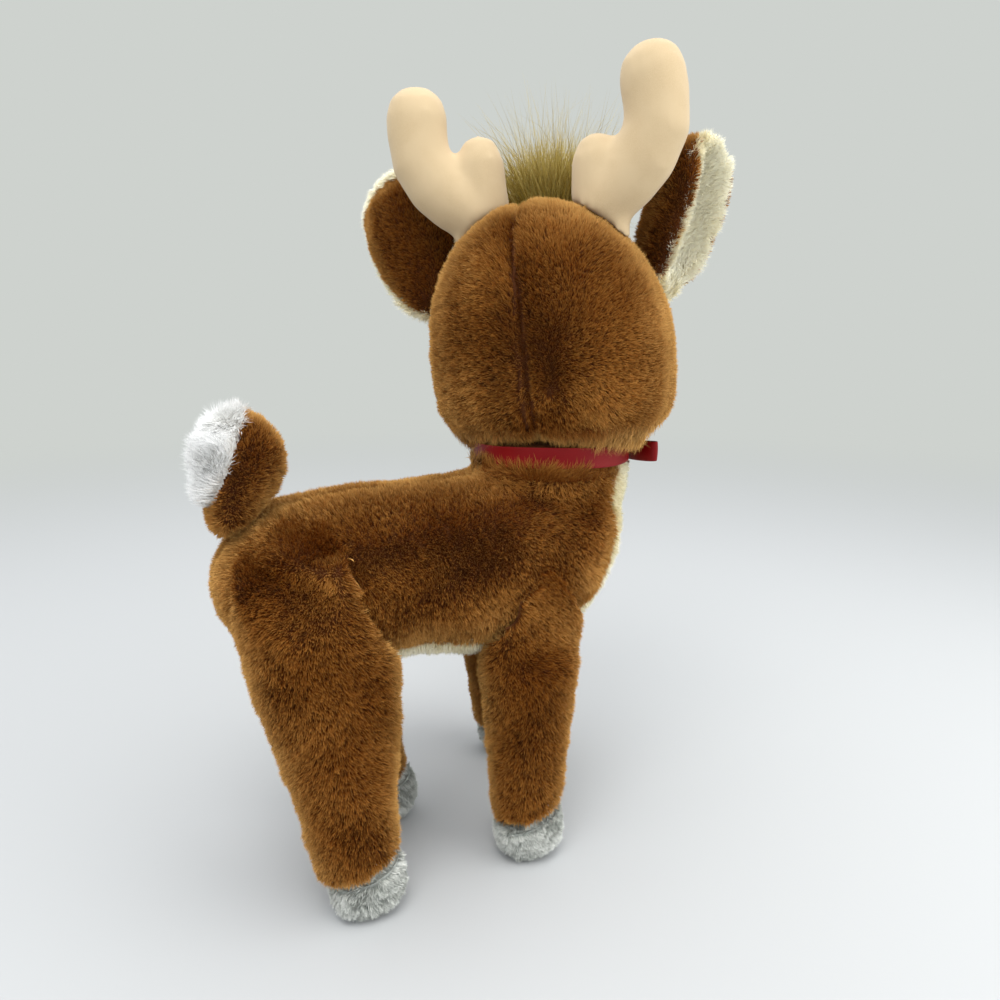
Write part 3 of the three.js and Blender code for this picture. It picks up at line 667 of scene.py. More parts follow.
def scatter(skin, keep, per_mm2, rng, values):
    """Random roots on the kept part of a skin, evenly by area, with their normals and values."""
    triangles = triangles_of(skin)
    triangles = triangles[keep[triangles].all(1)]
    points, normals = points_of(skin), normals_of(skin)
    a, b, c = (points[triangles[:, i]] for i in range(3))
    area = np.linalg.norm(np.cross(b - a, c - a), axis=1) / 2
    count = int(area.sum() / MM ** 2 * per_mm2)
    chosen = np.searchsorted(np.cumsum(area) / area.sum(), rng.random(count))
    chosen = np.minimum(chosen, len(triangles) - 1)
    u, v = rng.random(count), rng.random(count)
    flip = u + v > 1
    u[flip], v[flip] = 1 - u[flip], 1 - v[flip]
    weights = np.stack([1 - u - v, u, v], 1)[:, :, None]
    corners = triangles[chosen]
    spots, upright = (points[corners] * weights).sum(1), unit((normals[corners] * weights).sum(1))
    return spots, upright, (values[corners] * weights[:, :, 0]).sum(1)


def combed(points, normals, towards, rng, swirl, jitter, seed):
    """The direction that each blade is brushed in, along the cloth."""
    along = unit(towards - normals * (towards * normals).sum(1, keepdims=True))
    angle = swirl * drift(points, BRUSHED_PATCH * MM, seed) + rng.normal(0, jitter, len(points))
    turned = np.cross(normals, along)
    return along * np.cos(angle)[:, None] + turned * np.sin(angle)[:, None]


def blade_curves(points, normals, lay, length, leans, tuft, rng, seed):
    """The middle line of each blade: it starts under the cloth and leans over, part by part."""
    parts = len(leans)
    curve = [points - normals * SINK * MM]
    step = length[:, None] * MM / parts
    wobble = rng.normal(0, WOBBLE, len(points))
    for k, lean in enumerate(leans):
        angle = np.clip(lean + wobble, 0, 1.5)
        heading = normals * np.cos(angle)[:, None] + lay * np.sin(angle)[:, None]
        curve.append((points if k == 0 else curve[-1]) + heading * step)
    if parts == 1:
        curve.insert(1, points + (curve[1] - points) * WIDEST)
        parts = 2
    pull = drift_vector(points, TUFT_SPACING * MM, seed)
    share = np.linspace(0, 1, parts + 1) ** 1.5
    return np.stack(curve, 1) + pull[:, None, :] * share[None, :, None] * tuft * MM


def leaves(name, curves, normals, width, profile, shades, material, rng, floor=None):
    """A mesh of blades over their middle lines. Each has one vertex at its root and its tip.

    With no profile a blade is half a leaf, one triangle that is widest beyond its middle.
    """
    count, rows = curves.shape[:2]
    if floor is not None:
        curves[:, :, 2] = np.maximum(curves[:, :, 2], floor)
    heading = unit(curves[:, -1] - curves[:, 0])
    side = unit(np.cross(heading, normals) + rng.normal(0, 0.25, (count, 3)))
    middle = curves[:, 1:-1]
    if profile:
        half = (width * MM / 2)[:, None, None] * np.asarray(profile)[None, :, None]
        wings = np.stack([middle - side[:, None] * half, middle + side[:, None] * half], 2)
        along_blade = np.concatenate([[0], np.repeat(np.arange(1, rows - 1) / (rows - 1), 2), [1]])
        across = np.concatenate([[0], np.tile([-1, 1], rows - 2), [0]])
    else:
        wings = middle + side[:, None] * (width * MM)[:, None, None]
        along_blade, across = np.array([0, WIDEST, 1]), np.array([-1, 1, -1])
    wings = wings.reshape(count, -1, 3)
    per = wings.shape[1] + 2
    verts = np.concatenate([curves[:, :1], wings, curves[:, -1:]], axis=1).reshape(-1, 3)
    faces = [(0, 2, 1)]
    if profile:
        for low in range(1, 2 * rows - 5, 2):
            faces += [(low, low + 1, low + 3), (low, low + 3, low + 2)]
        faces.append((per - 3, per - 2, per - 1))
    corners = (np.array(faces)[None] + np.arange(count)[:, None, None] * per).reshape(-1)
    mesh = bpy.data.meshes.new(name)
    mesh.vertices.add(len(verts))
    mesh.vertices.foreach_set("co", flat(verts))
    mesh.loops.add(len(corners))
    mesh.loops.foreach_set("vertex_index", corners.astype(np.int32))
    mesh.polygons.add(len(corners) // 3)
    mesh.polygons.foreach_set("loop_start", np.arange(0, len(corners), 3, dtype=np.int32))
    u = (np.clip(shades, 0.02, 0.98)[:, None] + 0.012 * across[None]).reshape(-1)
    v = np.tile(along_blade * 0.96 + 0.02, count)
    layer = mesh.uv_layers.new(name=PILE_MAP, do_init=False)
    layer.uv.foreach_set("vector", flat(np.stack([u, v], 1)[corners]))
    upright = mesh.attributes.new(CLOTH_NORMAL, "FLOAT_VECTOR", "POINT")
    upright.data.foreach_set("vector", flat(np.repeat(normals, per, axis=0)))
    mesh.update(calc_edges=True)
    mesh.validate()
    mesh.shade_smooth()
    mesh.materials.append(material)
    print(f"{name}: {count} blades, {len(mesh.polygons)} triangles")
    return add_object(name, mesh)


# %% Coats
SHAGGY = (1.0,)


def coat(name, skin, keep, towards, material, body, slot, density=6.2, length=4.4, width=0.38,
         leans=(0.42,), tuft=0.25, seed=1, floor=None, patch=0.13, base=0.62, shorter=None,
         tone=None, profile=(), swirl=0.5, jitter=0.35, each=0.13, pressed=None):
    """A whole coat of pile on one skin, combed by towards(points).

    How light a blade is comes from base, its own dye and soft patches where the nap lies another way.
    shorter(points) and pressed, a value at each vertex, say where the pile is short and dark; where
    they mark a crease between parts, that darkening is painted shade. tone(points) adds painted
    highlight and shade.
    """
    rng = np.random.default_rng(seed)
    if pressed is None:
        pressed = np.zeros(len(skin.data.vertices))
    points, normals, press = scatter(skin, keep, density, rng, pressed)
    count = len(points)
    lay = combed(points, normals, towards(points), rng, swirl, jitter, seed + 40)
    lengths = length * rng.uniform(0.8, 1.12, count)
    lengths = lengths * (1 + 0.08 * drift(points, LENGTH_PATCH * MM, seed + 50))
    shades = base + patch * drift(points, SHADE_PATCH * MM, seed + 60) + rng.normal(0, each, count)
    if tone is not None:
        shades = shades + tone(points)
    if shorter is not None:
        press = np.maximum(press, shorter(points))
    lengths = lengths * (1 - 0.6 * press)
    shades = shades - 0.5 * press
    curves = blade_curves(points, normals, lay, lengths, leans, tuft, rng, seed + 70)
    widths = width * rng.uniform(0.7, 1.2, count)
    obj = leaves(name, curves, normals, widths, profile, shades, material, rng, floor)
    return belongs(obj, body)


def brown_coat(name, skin, keep, towards, body="toy", **shape):
    return coat(name, skin, keep, towards, brown_pile, body, "brown_plush", **shape)


def cream_coat(name, skin, keep, towards, body="toy", **shape):
    return coat(name, skin, keep, towards, cream_pile, body, "cream_plush", **shape)


def towards_plan(x, y, z):
    """A combing direction that is the same everywhere, in the deer's own axes."""
    return lambda points: np.tile([float(x), float(y), float(z)], (len(points), 1))


def towards_head(x, y, z):
    return towards_plan(*(head_turn @ np.array([x, y, z], float)))


def in_plan(points):
    return (points - np.array(plan_origin)) / MM


def press_near(skin, trees, reach):
    """1 where a skin meets another form, falling to 0 over about the reach."""
    return fading(np.min([gap_to(points_of(skin), tree) for tree in trees], axis=0), reach)


def dye_cloth(skin, where, material):
    """Give the faces that have all their vertices in where a cloth of their own."""
    skin.data.materials.append(material)
    other = len(skin.data.materials) - 1
    for polygon in skin.data.polygons:
        if all(where[v] for v in polygon.vertices):
            polygon.material_index = other


# %% [markdown]
# ### Brown coat
#
# The nap runs back and down over the body, straight down the legs and down the back of the head.

# %% Body coat
SOLE = 0.3 * MM
BAND_EDGES = (189.6, 201.5)
PANEL_REACH, COVER_REACH, COLLAR_REACH = 7.5 * MM, 6 * MM, 8 * MM
CREASE_TOP, CREASE_RUN, CREASE_WIDTH = 160, 14 * MM, 8
NECK_Y, THROAT_TURN = -58.0, 202
ribbon_tree = tree_of(*[nodes[name] for name in nodes if name.startswith(("ribbon", "bow"))])
body_points = points_of(body_skin)
free = gap_to(body_points, tree_of(head_skin)) > 0
free &= np.min([gap_to(body_points, full_legs[leg]) for leg in LEGS], axis=0) > -1.5 * MM
band_low, band_high = (place(0, 0, height).z for height in BAND_EDGES)
free &= (body_points[:, 2] < band_low) | (body_points[:, 2] > band_high)
on_panel = np.abs(gap_to(body_points, tree_of(nodes["belly_panel"]))) < PANEL_REACH
on_cover = np.abs(gap_to(body_points, tree_of(nodes["body_cover"]))) < COVER_REACH
crease_height = np.clip((place(0, 0, CREASE_TOP).z - body_points[:, 2]) / CREASE_RUN, 0, 1)
leg_trees = list(full_legs.values())
own_height, own_back = in_plan(body_points).T[[2, 1]]
ahead = np.interp(own_height, THIGH_EDGE_HEIGHTS, THIGH_EDGE) + 4 - own_back
in_front_of_thigh = np.clip(ahead / CREASE_WIDTH, 0, 1) * np.clip((own_back + 4) / 20, 0, 1)
# Painted shade: low on the body, where it meets the legs and in a wider band in front of each thigh,
# the pile is made shorter and darker.
crease_press_and_shade = crease_height * np.maximum(
    0.8 * press_near(body_skin, leg_trees, 5.0) * np.clip(ahead / CREASE_WIDTH, 0.15, 1),
    0.4 * press_near(body_skin, leg_trees, 16.0) * in_front_of_thigh)


def body_tone(points):
    """Painted highlight: the pile of the back, the neck and the shoulders is made lighter, where the
    light falls on it.
    """
    own = in_plan(points)
    return 0.28 * np.clip((8 - own[:, 1]) / 25, 0, 1) + 0.2 * np.clip((own[:, 2] - 170) / 15, 0, 1)


for side, sign in SIDES.items():
    half = (body_points[:, 0] - seam_plane) * sign > 0
    brown_coat(
        f"body_pile_{side}", body_skin, free & on_cover & ~on_panel & half, towards_plan(0, 0.55, -1),
        seed=11 + sign, base=0.5, tone=body_tone, shorter=lambda p: fading(back_seam(p), 1.1),
        pressed=crease_press_and_shade)
dye_cloth(body_skin, on_panel, cream_cloth)
belly_pile = cream_coat("belly_pile", body_skin, free & on_panel, towards_plan(0, 0.3, -1),
                        density=5, length=5.5, seed=21)
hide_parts("belly_panel")

# %% Collar pile
from_ribbon = np.abs(gap_to(body_points, ribbon_tree))
collar = (from_ribbon < COLLAR_REACH) & (body_points[:, 2] < band_low) & on_cover & ~on_panel
collar_turn = np.degrees(np.arctan2(
    body_points[:, 1] - place(0, NECK_Y, 0).y, body_points[:, 0] - place(0, 0, 0).x)) % 360
open_side = np.clip((30 - np.abs(collar_turn - THROAT_TURN)) / 14, 0, 1)
brown_coat("collar_pile", body_skin, collar, towards_plan(0, 0, 1), density=8, length=12.5,
           leans=(0.3, 1.3), profile=SHAGGY, seed=25, base=0.55,
           pressed=np.maximum(0.9 * open_side, np.clip(from_ribbon / (5.5 * MM) - 0.45, 0, 1)))

# %% Leg coats
LEG_TOP, LEG_TOP_RUN = 122, 12 * MM


def thigh_tone(points):
    """Painted highlight: the fold along the front of a thigh is made lighter, where it catches the
    light.
    """
    own = in_plan(points)
    behind_edge = own[:, 1] - np.interp(own[:, 2], THIGH_EDGE_HEIGHTS, THIGH_EDGE)
    return 0.35 * np.exp(-((behind_edge - 6) / 8) ** 2) * np.clip((own[:, 2] - 105) / 15, 0, 1)


# Painted shade: low on each leg, where it meets the body, the pile is made shorter and darker.
for k, leg in enumerate(LEGS):
    leg_low = (place(0, 0, LEG_TOP).z - points_of(leg_skins[leg])[:, 2]) / LEG_TOP_RUN
    brown_coat(f"leg_pile_{leg}", leg_skins[leg], leg_keeps[leg], towards_plan(0, 0.12, -1),
               seed=31 + k, floor=SOLE, base=0.36, tone=thigh_tone if "hind" in leg else None,
               pressed=0.5 * np.clip(leg_low, 0, 1) * press_near(leg_skins[leg], [body_tree], 3.0))

# %% [markdown]
# The pile of the head grows away from one point low on its back, and along the seam it is combed to
# both sides, so that the seam shows as a parting.

# %% Head coat
WHORL = np.array([-13, 53, -27.0])


def from_whorl(points):
    own = in_head(points)
    away = unit(own - WHORL)
    side = nape_side(own)
    parting = np.sign(side) * np.exp(-(side / 4) ** 2) * (own[:, 1] > 0)
    away[:, 0] += 1.2 * parting
    return away @ head_turn.T


def whorl_tone(points):
    """Painted highlight to the right of the whorl, where the nap leans towards the light, painted
    shade below it, where the nap leans away, and a little more painted shade low on the back of the
    head.
    """
    own = in_head(points)
    painted_highlight = np.exp(-((own[:, 0] + 30) / 13) ** 2 - ((own[:, 2] + 27) / 9) ** 2)
    painted_shade = np.exp(-((own[:, 0] + 8) / 14) ** 2 - ((own[:, 2] + 41) / 8) ** 2)
    low = np.clip((-20 - own[:, 2]) / 20, 0, 1)
    return (0.9 * painted_highlight - 0.5 * painted_shade - 0.12 * low) * (own[:, 1] > 0)


head_points = points_of(head_skin)
own_head = in_head(head_points)
head_free = grow_mask(
    head_skin, ["head_cover"], clear_of=[(body_skin, 0.0), (snout_skin, 0.0)]
    + [(antler_skins[s], 0.3) for s in antler_skins])
head_free &= gap_to(head_points, ribbon_tree) > 1.0 * MM
buttons = tree_of(nodes["eye_right"], nodes["eye_left"], nodes["nose"])
head_free &= gap_to(head_points, buttons) > 0.5 * MM
for side, sign in SIDES.items():
    brown_coat(f"head_pile_{side}", head_skin, head_free & (own_head[:, 0] * sign > 0), from_whorl,
               seed=51 + sign, length=4.3, tone=whorl_tone,
               shorter=lambda p: 1.2 * fading(nape_seam(p), 1.3))
nape_low = head_free & (own_head[:, 2] < -41) & (own_head[:, 1] > 0)
brown_coat("nape_pile", head_skin, nape_low, towards_plan(0, 0, -1), density=4, length=11.5,
           leans=(0.5, 1.1), profile=SHAGGY, seed=57, base=0.42,
           pressed=0.9 * np.clip((own_head[:, 2] + 47) / 6, 0, 1))


# %% Stitched mouth
def on_snout(x, z):
    """The place on the snout's cloth in front of a point of the head's own frame, in millimetres."""
    start = head_frame @ (Vector((x, -120, z)) * MM)
    spot, normal = snout_tree.ray_cast(start, head_frame.to_3x3() @ Vector((0, 1, 0)))[:2]
    return spot + normal * 1.2 * MM


snout_tree = tree_of(snout_skin)
nose_x, _, nose_z = in_head(points_of(nodes["nose"])).mean(0)
mouth_z = nose_z - 14.5
smile = [on_snout(nose_x + 8 * t, mouth_z + 3.2 * t * t) for t in np.linspace(-1, 1, 17)]
stem = [on_snout(nose_x, mouth_z + 7.5 * t) for t in np.linspace(0, 1, 7)]
thread_curve = bpy.data.curves.new("mouth_stitch", "CURVE")
thread_curve.dimensions = "3D"
thread_curve.bevel_depth, thread_curve.bevel_resolution = 0.7 * MM, 2
thread_curve.use_fill_caps = True
for stitch in (smile, stem):
    spline = thread_curve.splines.new("POLY")
    spline.points.add(len(stitch) - 1)
    spline.points.foreach_set("co", np.array([(*p, 1) for p in stitch]).ravel())
take(add_object("mouth_stitch", thread_curve))
bpy.ops.object.convert(target="MESH")
mouth = bpy.context.object
mouth.name = mouth.data.name = "mouth_stitch"
mouth.data.materials.clear()
mouth.data.materials.append(cloth_material("thread", "2a1a12", "3a2518", 0.4, bump=0.4))
belongs(mouth, "toy")

# %% Snout coat
snout_keep = grow_mask(
    snout_skin, ["snout_cover"], clear_of=[(head_skin, -1.0), (body_skin, 0.0)],
    not_near=[(nodes["head_stuffing"], 1.2), (nodes["nose"], 0.8), (mouth, 1.3)])
cream_coat("snout_pile", snout_skin, snout_keep, towards_head(0, 1, -0.25), density=5, length=3.2,
           width=0.4, seed=55)

# %% [markdown]
# ### Ears, tail, hooves and antlers
#
# The ear linings and the tail's underside are long and fluffy, and the hooves are short and mixed in
# colour. The antlers are velour, whose nap is too short to see, so their cloth only has its sheen.

# %% Ear coats
def outwards(skin, side):
    """Away from the middle line of an ear, and a little towards its tip."""
    joint = next(j for j in frame["joints"] if j["name"] == f"ear_{side}_droop")
    root, points = np.array(joint["pos_m"]), points_of(skin)
    middle_line = unit(points[points[:, 2] > points[:, 2].max() - 12 * MM].mean(0) - root)
    def heading(spots):
        along = (spots - root) @ middle_line
        return unit(spots - root - along[:, None] * middle_line) + 0.35 * middle_line
    return heading


CREAM_EDGE = dict(density=8, width=0.4, profile=SHAGGY, tuft=0.5, base=0.9, each=0.07)
for side, sign in SIDES.items():
    body = f"ear_{side}"
    back, lining = ear_backs[side], ear_linings[side]
    towards_tip = towards_head(0.3 * sign, 0, 1)
    others = [(antler_skins[side], 0.3), (head_skin, 0.2)]
    brown = grow_mask(back, [f"ear_back_{side}"], clear_of=others)
    from_lining = np.abs(gap_to(points_of(back), tree_of(lining)))
    fringe, rim_length = (3.6, 6.5) if side == "left" else (1.2, 5)
    brown_coat(f"ear_back_pile_{side}", back, brown & (from_lining > fringe * MM), towards_tip, body,
               length=4.0, seed=61 + sign, base=0.55,
               pressed=fading(from_lining - fringe * MM, 3) * 0.4)
    cream = grow_mask(lining, [f"ear_lining_{side}"], clear_of=others)
    from_back = np.abs(gap_to(points_of(lining), tree_of(back)))
    cream_coat(f"ear_lining_pile_{side}", lining, cream & (from_back > 2.4 * MM), towards_tip, body,
               density=5, length=5, seed=65 + sign, base=0.9, each=0.07, leans=(0.6, 1.1),
               profile=SHAGGY, width=0.45, tuft=0.3)
    rim = cream & (from_back > 0.6 * MM) & (from_back < 3.4 * MM)
    cream_coat(f"ear_rim_pile_{side}", lining, rim, outwards(lining, side), body,
               length=rim_length, seed=67 + sign, leans=(0.9, 1.1), **CREAM_EDGE)
    if side == "left":
        edge = brown & (from_lining < (fringe + 0.3) * MM)
        cream_coat(f"ear_fringe_pile_{side}", back, edge, outwards(back, side), body,
                   length=6.0, seed=69 + sign, leans=(0.7, 1.1), **CREAM_EDGE)

# %% Tail coats
TAIL_SPLIT = (0, 107.4, 175.0)
TAIL_SPLIT_NORMAL = unit(np.array([0, 42, 17.4]))
TAIL_CLEAR = 4.5 * MM
tail_points = points_of(tail_skin)
behind = (tail_points - np.array(place(*TAIL_SPLIT))) @ TAIL_SPLIT_NORMAL > 0
tail_gap = gap_to(tail_points, body_tree)
tail_free = tail_gap > TAIL_CLEAR
dye_cloth(tail_skin, behind, white_cloth)
# Painted shade: next to the body the tail's brown pile is made shorter and darker.
brown_coat("tail_top_pile", tail_skin, tail_free & ~behind, towards_plan(0, 0.1, 1), "tail",
           length=4.4, seed=71, base=0.75, pressed=0.8 * fading(tail_gap - TAIL_CLEAR, 4))
tail_white = coat("tail_underside_pile", tail_skin, tail_free & behind, towards_plan(0, 0.5, 0.8),
                  white_pile, "tail", "white_plush", density=7, length=8, width=0.34, seed=75,
                  leans=(0.4, 0.8), profile=SHAGGY, tuft=0.8, each=0.05, base=0.9, swirl=0.8)
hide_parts("tail_underside")

# %% Hoof coats
for k, leg in enumerate(LEGS):
    hoof = hoof_skins[leg]
    keep = grow_mask(hoof, [f"hoof_{leg}"], reach=4.6, clear_of=[(leg_skins[leg], 0.2)])
    keep &= normals_of(hoof)[:, 2] > -0.5
    low = 1 - np.clip(points_of(hoof)[:, 2] / (9 * MM), 0, 1)
    coat(f"hoof_pile_{leg}", hoof, keep, towards_plan(0, -0.2, -1), grey_pile, "toy",
         "grey_plush", density=9, length=3.3, width=0.34, seed=81 + k, leans=(0.7,),
         tuft=0.3, swirl=0.9, floor=SOLE, patch=0.06, pressed=0.5 * low, base=0.76, each=0.08)

# %% [markdown]
# ### Forelock
#
# A tuft of long soft hair stands between the antlers. It is thick and olive-brown at its foot and
# thins to single wisps, so the hairs have very different lengths and fan outwards.

# %% Forelock
FORELOCK_ROOT = np.array([6, -22, 37.0])
FORELOCK_LEAN = -0.19
STRAY = 5 * MM


def forelock(count=7500, parts=5, wisps=0.13):
    rng = np.random.default_rng(101)
    spot = rng.normal(0, 0.5, (count, 2)).clip(-1.1, 1.1)
    root = FORELOCK_ROOT + np.stack([spot[:, 0] * 12, spot[:, 1] * 7, np.zeros(count)], 1)
    out = np.stack([spot[:, 0] * 0.34, spot[:, 1] * 0.2 + FORELOCK_LEAN, np.ones(count)], 1)
    out = unit(out + rng.normal(0, 0.09, (count, 3)))
    wisp = rng.random(count) < wisps
    length = np.where(wisp, rng.uniform(62, 92, count), rng.uniform(34, 66, count))
    length *= 1 - 0.1 * np.abs(spot[:, 0])
    curve, heading = [root], out
    curl = 0.07 * drift_vector(root * MM, 5 * MM, 103) + rng.normal(0, 0.08, (count, 3))
    curl += wisp[:, None] * rng.normal(0, 0.17, (count, 3))
    spread = np.stack([spot[:, 0] * 0.16, spot[:, 1] * 0.1, np.zeros(count)], 1)
    for k in range(parts):
        curve.append(curve[-1] + heading * (length / parts)[:, None])
        heading = unit(heading + curl + spread)
    curves = np.stack(curve, 1) * MM @ head_turn.T + head_middle
    normals = unit(out @ head_turn.T + rng.normal(0, 1, (count, 3)))
    shades = 0.6 + rng.normal(0, 0.2, count) + 0.1 * drift(curves[:, 0], 8 * MM, 102)
    widths = np.where(wisp, 0.28, rng.uniform(0.35, 0.6, count))
    low, high = np.array(cad_low) - STRAY, np.array(cad_high) + STRAY
    fits = ((curves > low) & (curves < high)).all(axis=(1, 2))
    hair = leaves("forelock_hair", curves[fits], normals[fits], widths[fits],
                  (1.0, 0.9, 0.7, 0.4), shades[fits], gold_hair, rng)
    belongs(hair, "toy", "forelock")


forelock()

# %% [markdown]
# ## Ribbon
#
# A satin ribbon 10 mm wide is tied round the neck under the head, with a small bow at the throat. Each
# piece of ribbon is a strip of cloth swept along its path and given its thin wall.

# %% Ribbon strips
RIBBON_WIDTH = 10.0


RIBBON_ROWS = 7
UPRIGHT, SIDEWAYS = (0, 0, 1.0), (1.0, 0, 0)


def ribbon_strip(name, path, across, closed=True, cup=0.5, thick=0.35):
    """A strip along path with its width along across; its edges stand a little proud, by cup."""
    path, across = np.stack(path, 1), np.tile(across, (len(path[0]), 1))
    count, rows = len(path), RIBBON_ROWS
    ahead = np.roll(path, -1, 0) - np.roll(path, 1, 0)
    if not closed:
        ahead[0], ahead[-1] = path[1] - path[0], path[-1] - path[-2]
    outward = unit(np.cross(ahead, across))
    share = np.linspace(-1, 1, rows)
    grid = path[:, None] + across[:, None] * share[None, :, None] * RIBBON_WIDTH / 2
    grid = grid + outward[:, None] * (cup * share ** 2)[None, :, None]
    verts = [plan_origin + Vector(v) * MM for v in grid.reshape(-1, 3)]
    faces = []
    for i in range(count if closed else count - 1):
        for j in range(rows - 1):
            a, b = i * rows + j, ((i + 1) % count) * rows + j
            faces.append((a, b, b + 1, a + 1))
    mesh = bpy.data.meshes.new(f"{name}_satin")
    mesh.from_pydata(verts, [], faces)
    mesh.materials.append(satin)
    obj = add_object(mesh.name, mesh)
    wall = obj.modifiers.new("wall", "SOLIDIFY")
    wall.thickness, wall.offset = thick * MM, 0
    subdivide(obj)
    apply_modifiers(obj)
    bpy.ops.object.shade_smooth()
    belongs(obj, "toy", name)


# %% Band and bow
BAND_X, BAND_Y, BAND_MIDDLE = 37.6, 39.4, 195.5
BOW_Y, BOW_HEIGHT = -100.9, 192.0
LOOP_REACH, LOOP_DEPTH, KNOT_REACH, KNOT_DEPTH = 26, 4.4, 4.0, 3.4
BOW_ENDS = {"right": (8, 0.0), "left": (18, -1.5)}
turns = np.linspace(0, 2 * math.pi, 72, endpoint=False)
ribbon_strip("ribbon_band", (
    BAND_X * np.cos(turns), NECK_Y + BAND_Y * np.sin(turns), BAND_MIDDLE + 0.5 * np.sin(3 * turns),
), UPRIGHT)
for side, hand in SIDES.items():
    turns = np.linspace(-math.pi, math.pi, 40, endpoint=False)
    reach = 0.5 * (1 + np.cos(turns))
    ribbon_strip(f"bow_loop_{side}", (
        hand * (4.2 + LOOP_REACH * reach),
        BOW_Y + LOOP_DEPTH * np.sin(turns) * (0.35 + 0.65 * reach),
        BOW_HEIGHT - hand * 2.6 * reach,
    ), UPRIGHT, cup=0.3)
    shift, back = BOW_ENDS[side]
    drop = np.linspace(0, 1, 16)
    ribbon_strip(f"bow_end_{side}", (
        shift * drop, BOW_Y + back - 2.4 * drop - 0.8 * np.sin(5 * drop),
        BOW_HEIGHT - 5.9 - 23.5 * drop,
    ), SIDEWAYS, closed=False, cup=0.3)
turns = np.linspace(0, 2 * math.pi, 24, endpoint=False)
ribbon_strip("bow_knot", (
    KNOT_REACH * np.cos(turns), BOW_Y + KNOT_DEPTH * np.sin(turns), np.full(24, BOW_HEIGHT),
), UPRIGHT, cup=-0.8)

# %% [markdown]
# ## Eyes and nose
#
# Safety eyes are glossy black domes pressed into the cloth, each on a shank with a washer behind. A
# sphere is pressed flat at its back, given a rounded rim and set on the plan's own axis.

# %% Eyes and nose
gloss_black, _, gloss_shader = new_material("glossy plastic", "080707", roughness=0.12, specular=0.4)
gloss_tree = gloss_black.node_tree
gloss_place = add_node(gloss_tree, "ShaderNodeTexCoord").outputs["Object"]
scratches = noise(gloss_tree, 900, 3, gloss_place)
worn = add_node(gloss_tree, "ShaderNodeMapRange", [
    (0, scratches), (1, 0.4), (2, 0.8), (3, 0.1), (4, 0.22)])
feed(gloss_tree, worn.outputs[0], gloss_shader.inputs["Roughness"])
BUTTON_BACK = 0.22


def button(name, node, washer, radius, rise, flatten=1.0):
    """A domed button on the axis that its shank and its washer share."""
    dome, ring = points_of(nodes[node]), points_of(nodes[washer])
    outward = Vector(unit(dome.mean(0) - ring.mean(0)))
    reach = float(((dome - ring.mean(0)) @ np.array(outward)).max())
    seat = Vector(ring.mean(0)) + outward * (reach - rise * MM)
    bpy.ops.object.select_all(action="DESELECT")
    bpy.ops.mesh.primitive_uv_sphere_add(segments=40, ring_count=24, radius=1)
    obj = bpy.context.object
    obj.name = obj.data.name = name
    co = points_of(obj)
    co[co[:, 2] < 0, 2] *= BUTTON_BACK
    co *= np.array([radius, radius * flatten, rise]) * MM
    upright = Vector(head_turn @ np.array([0, 0, 1.0]))
    z = outward.normalized()
    x = upright.cross(z).normalized()
    set_points(obj, co @ np.array([x, z.cross(x), z]) + np.array(seat))
    bpy.ops.object.shade_smooth()
    obj.data.materials.append(gloss_black)
    belongs(obj, "toy", node)
    print(f"{name}: seat in mm {[round(v / MM) for v in seat]}")


for side in SIDES:
    button(f"eye_dome_{side}", f"eye_{side}", f"eye_washer_{side}", 7, 4.6)
button("nose_button", "nose", "nose_washer", 10.5, 6, 0.72)

# %% [markdown]
# ## Bodies and the hidden filling
#
# Each skin rides on the body that it is sewn to, and each filling with the skin that it fills. The
# washers stay as they are in the plan, because no one sees them, and only get their nylon.

# %% Ride
SKINS = [
    (body_skin, "toy", "brown_plush"), (head_skin, "toy", "brown_plush"),
    (snout_skin, "toy", "cream_plush"), (tail_skin, "tail", "brown_plush"),
    *[(skin, "toy", "brown_plush") for skin in leg_skins.values()],
    *[(skin, "toy", "grey_plush") for skin in hoof_skins.values()],
]
for side in SIDES:
    SKINS += [
        (antler_skins[side], "toy", "tan_velour"), (ear_backs[side], f"ear_{side}", "brown_plush"),
        (ear_linings[side], f"ear_{side}", "cream_plush"),
    ]
for filling in (body_filling, head_filling, *leg_fillings.values()):
    SKINS.append((filling, "toy", "filling"))
for skin, body, slot in SKINS:
    belongs(skin, body)
nylon, nylon_tree, nylon_shader = new_material("nylon", "e6e4de", roughness=0.4)
grain = noise(nylon_tree, 400)
feed(nylon_tree, mix_colours(nylon_tree, grain, linear("dedbd3"), linear("efede8")),
     nylon_shader.inputs["Base Color"])
for name, node in nodes.items():
    if "washer" in name:
        node.data.materials.clear()
        node.data.materials.append(nylon)

# %% [markdown]
# ## Floor and light
#
# The toy stands on a plain pale floor in soft light. The big lamp hangs over the back and a little to
# the camera's side, so the back and the crown are lightest and the belly is in shade.

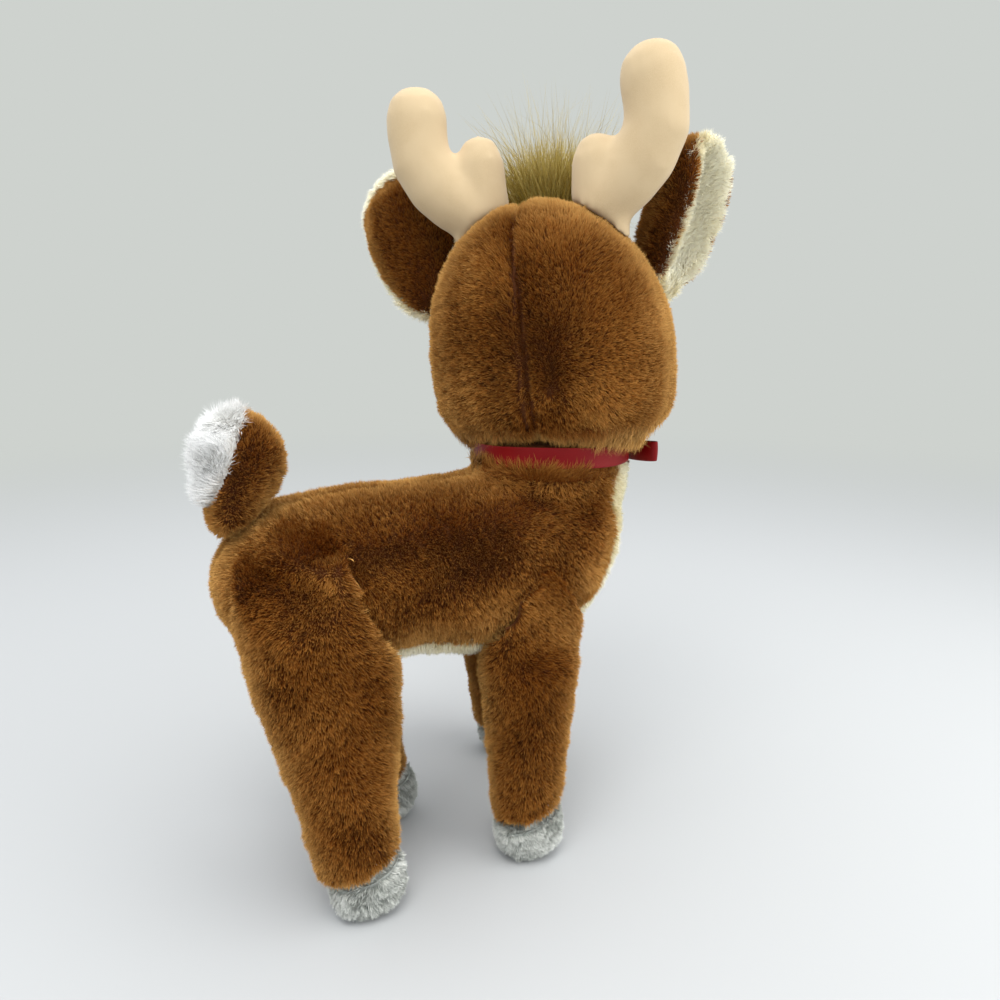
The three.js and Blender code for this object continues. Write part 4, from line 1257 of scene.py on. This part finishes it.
# %% Stage
bpy.ops.object.select_all(action="DESELECT")
bpy.ops.mesh.primitive_plane_add(size=12)
floor = bpy.context.object
floor.name = "floor"
PAPER = linear("ced2ce")
FADE_FROM, FADE_TO = 0.45, 1.6
floor_material, floor_tree, floor_shader = new_material("floor", "c0c2c3", roughness=0.9)
feed(floor_tree, mix_colours(floor_tree, noise(floor_tree, 4), linear("bcbebf"), linear("c3c5c6")),
     floor_shader.inputs["Base Color"])
far_paper = add_node(floor_tree, "ShaderNodeEmission", [("Color", PAPER)])
floor_spot = add_node(floor_tree, "ShaderNodeTexCoord").outputs["Object"]
floor_reach = add_node(floor_tree, "ShaderNodeVectorMath", [(0, floor_spot)], operation="LENGTH")
fade = add_node(floor_tree, "ShaderNodeMixShader", [
    (0, ramp_between(floor_tree, floor_reach.outputs["Value"], FADE_FROM, FADE_TO)),
    (1, floor_shader.outputs[0]), (2, far_paper.outputs[0])])
feed(floor_tree, fade.outputs[0], floor_tree.nodes["Material Output"].inputs["Surface"])
floor.data.materials.append(floor_material)

world = bpy.data.worlds.new("studio")
bpy.context.scene.world = world
world.use_nodes = True
sky = world.node_tree
background = sky.nodes["Background"]
background.inputs["Color"].default_value = linear("f2f5f8")
background.inputs["Strength"].default_value = 0.9
paper = add_node(sky, "ShaderNodeBackground", [("Color", PAPER), ("Strength", 1.0)])
rays = add_node(sky, "ShaderNodeLightPath").outputs
seen = rays["Is Camera Ray"]
for kind in ("Is Glossy Ray", "Is Transmission Ray"):
    seen = add_node(sky, "ShaderNodeMath", [(0, seen), (1, rays[kind])],
                    operation="ADD", use_clamp=True).outputs[0]
behind_toy = add_node(sky, "ShaderNodeMixShader", [
    (0, seen), (1, background.outputs[0]), (2, paper.outputs[0])])
feed(sky, behind_toy.outputs[0], sky.nodes["World Output"].inputs["Surface"])


def lamp(name, from_middle, size, power, colour):
    """A round soft lamp, placed in metres from the middle of the toy, that aims at it."""
    data = bpy.data.lights.new(name, "AREA")
    data.shape, data.size, data.energy, data.color = "DISK", size, power, colour
    obj = add_object(name, data)
    obj.location = middle + Vector(from_middle)
    obj.rotation_euler = (middle - obj.location).to_track_quat("-Z", "Y").to_euler()


middle = (cad_low + cad_high) / 2
lamp("softbox", (-0.2, 0.1, 1.5), 2.2, 20, (1, 0.995, 0.98))
lamp("side fill", (-0.47, -0.5, 0.22), 0.7, 2.4, (1, 0.99, 0.96))
lamp("over the back", (-0.45, 0.35, 1.0), 0.6, 4, (1, 0.99, 0.97))
bpy.context.scene.view_settings.view_transform = "Standard"
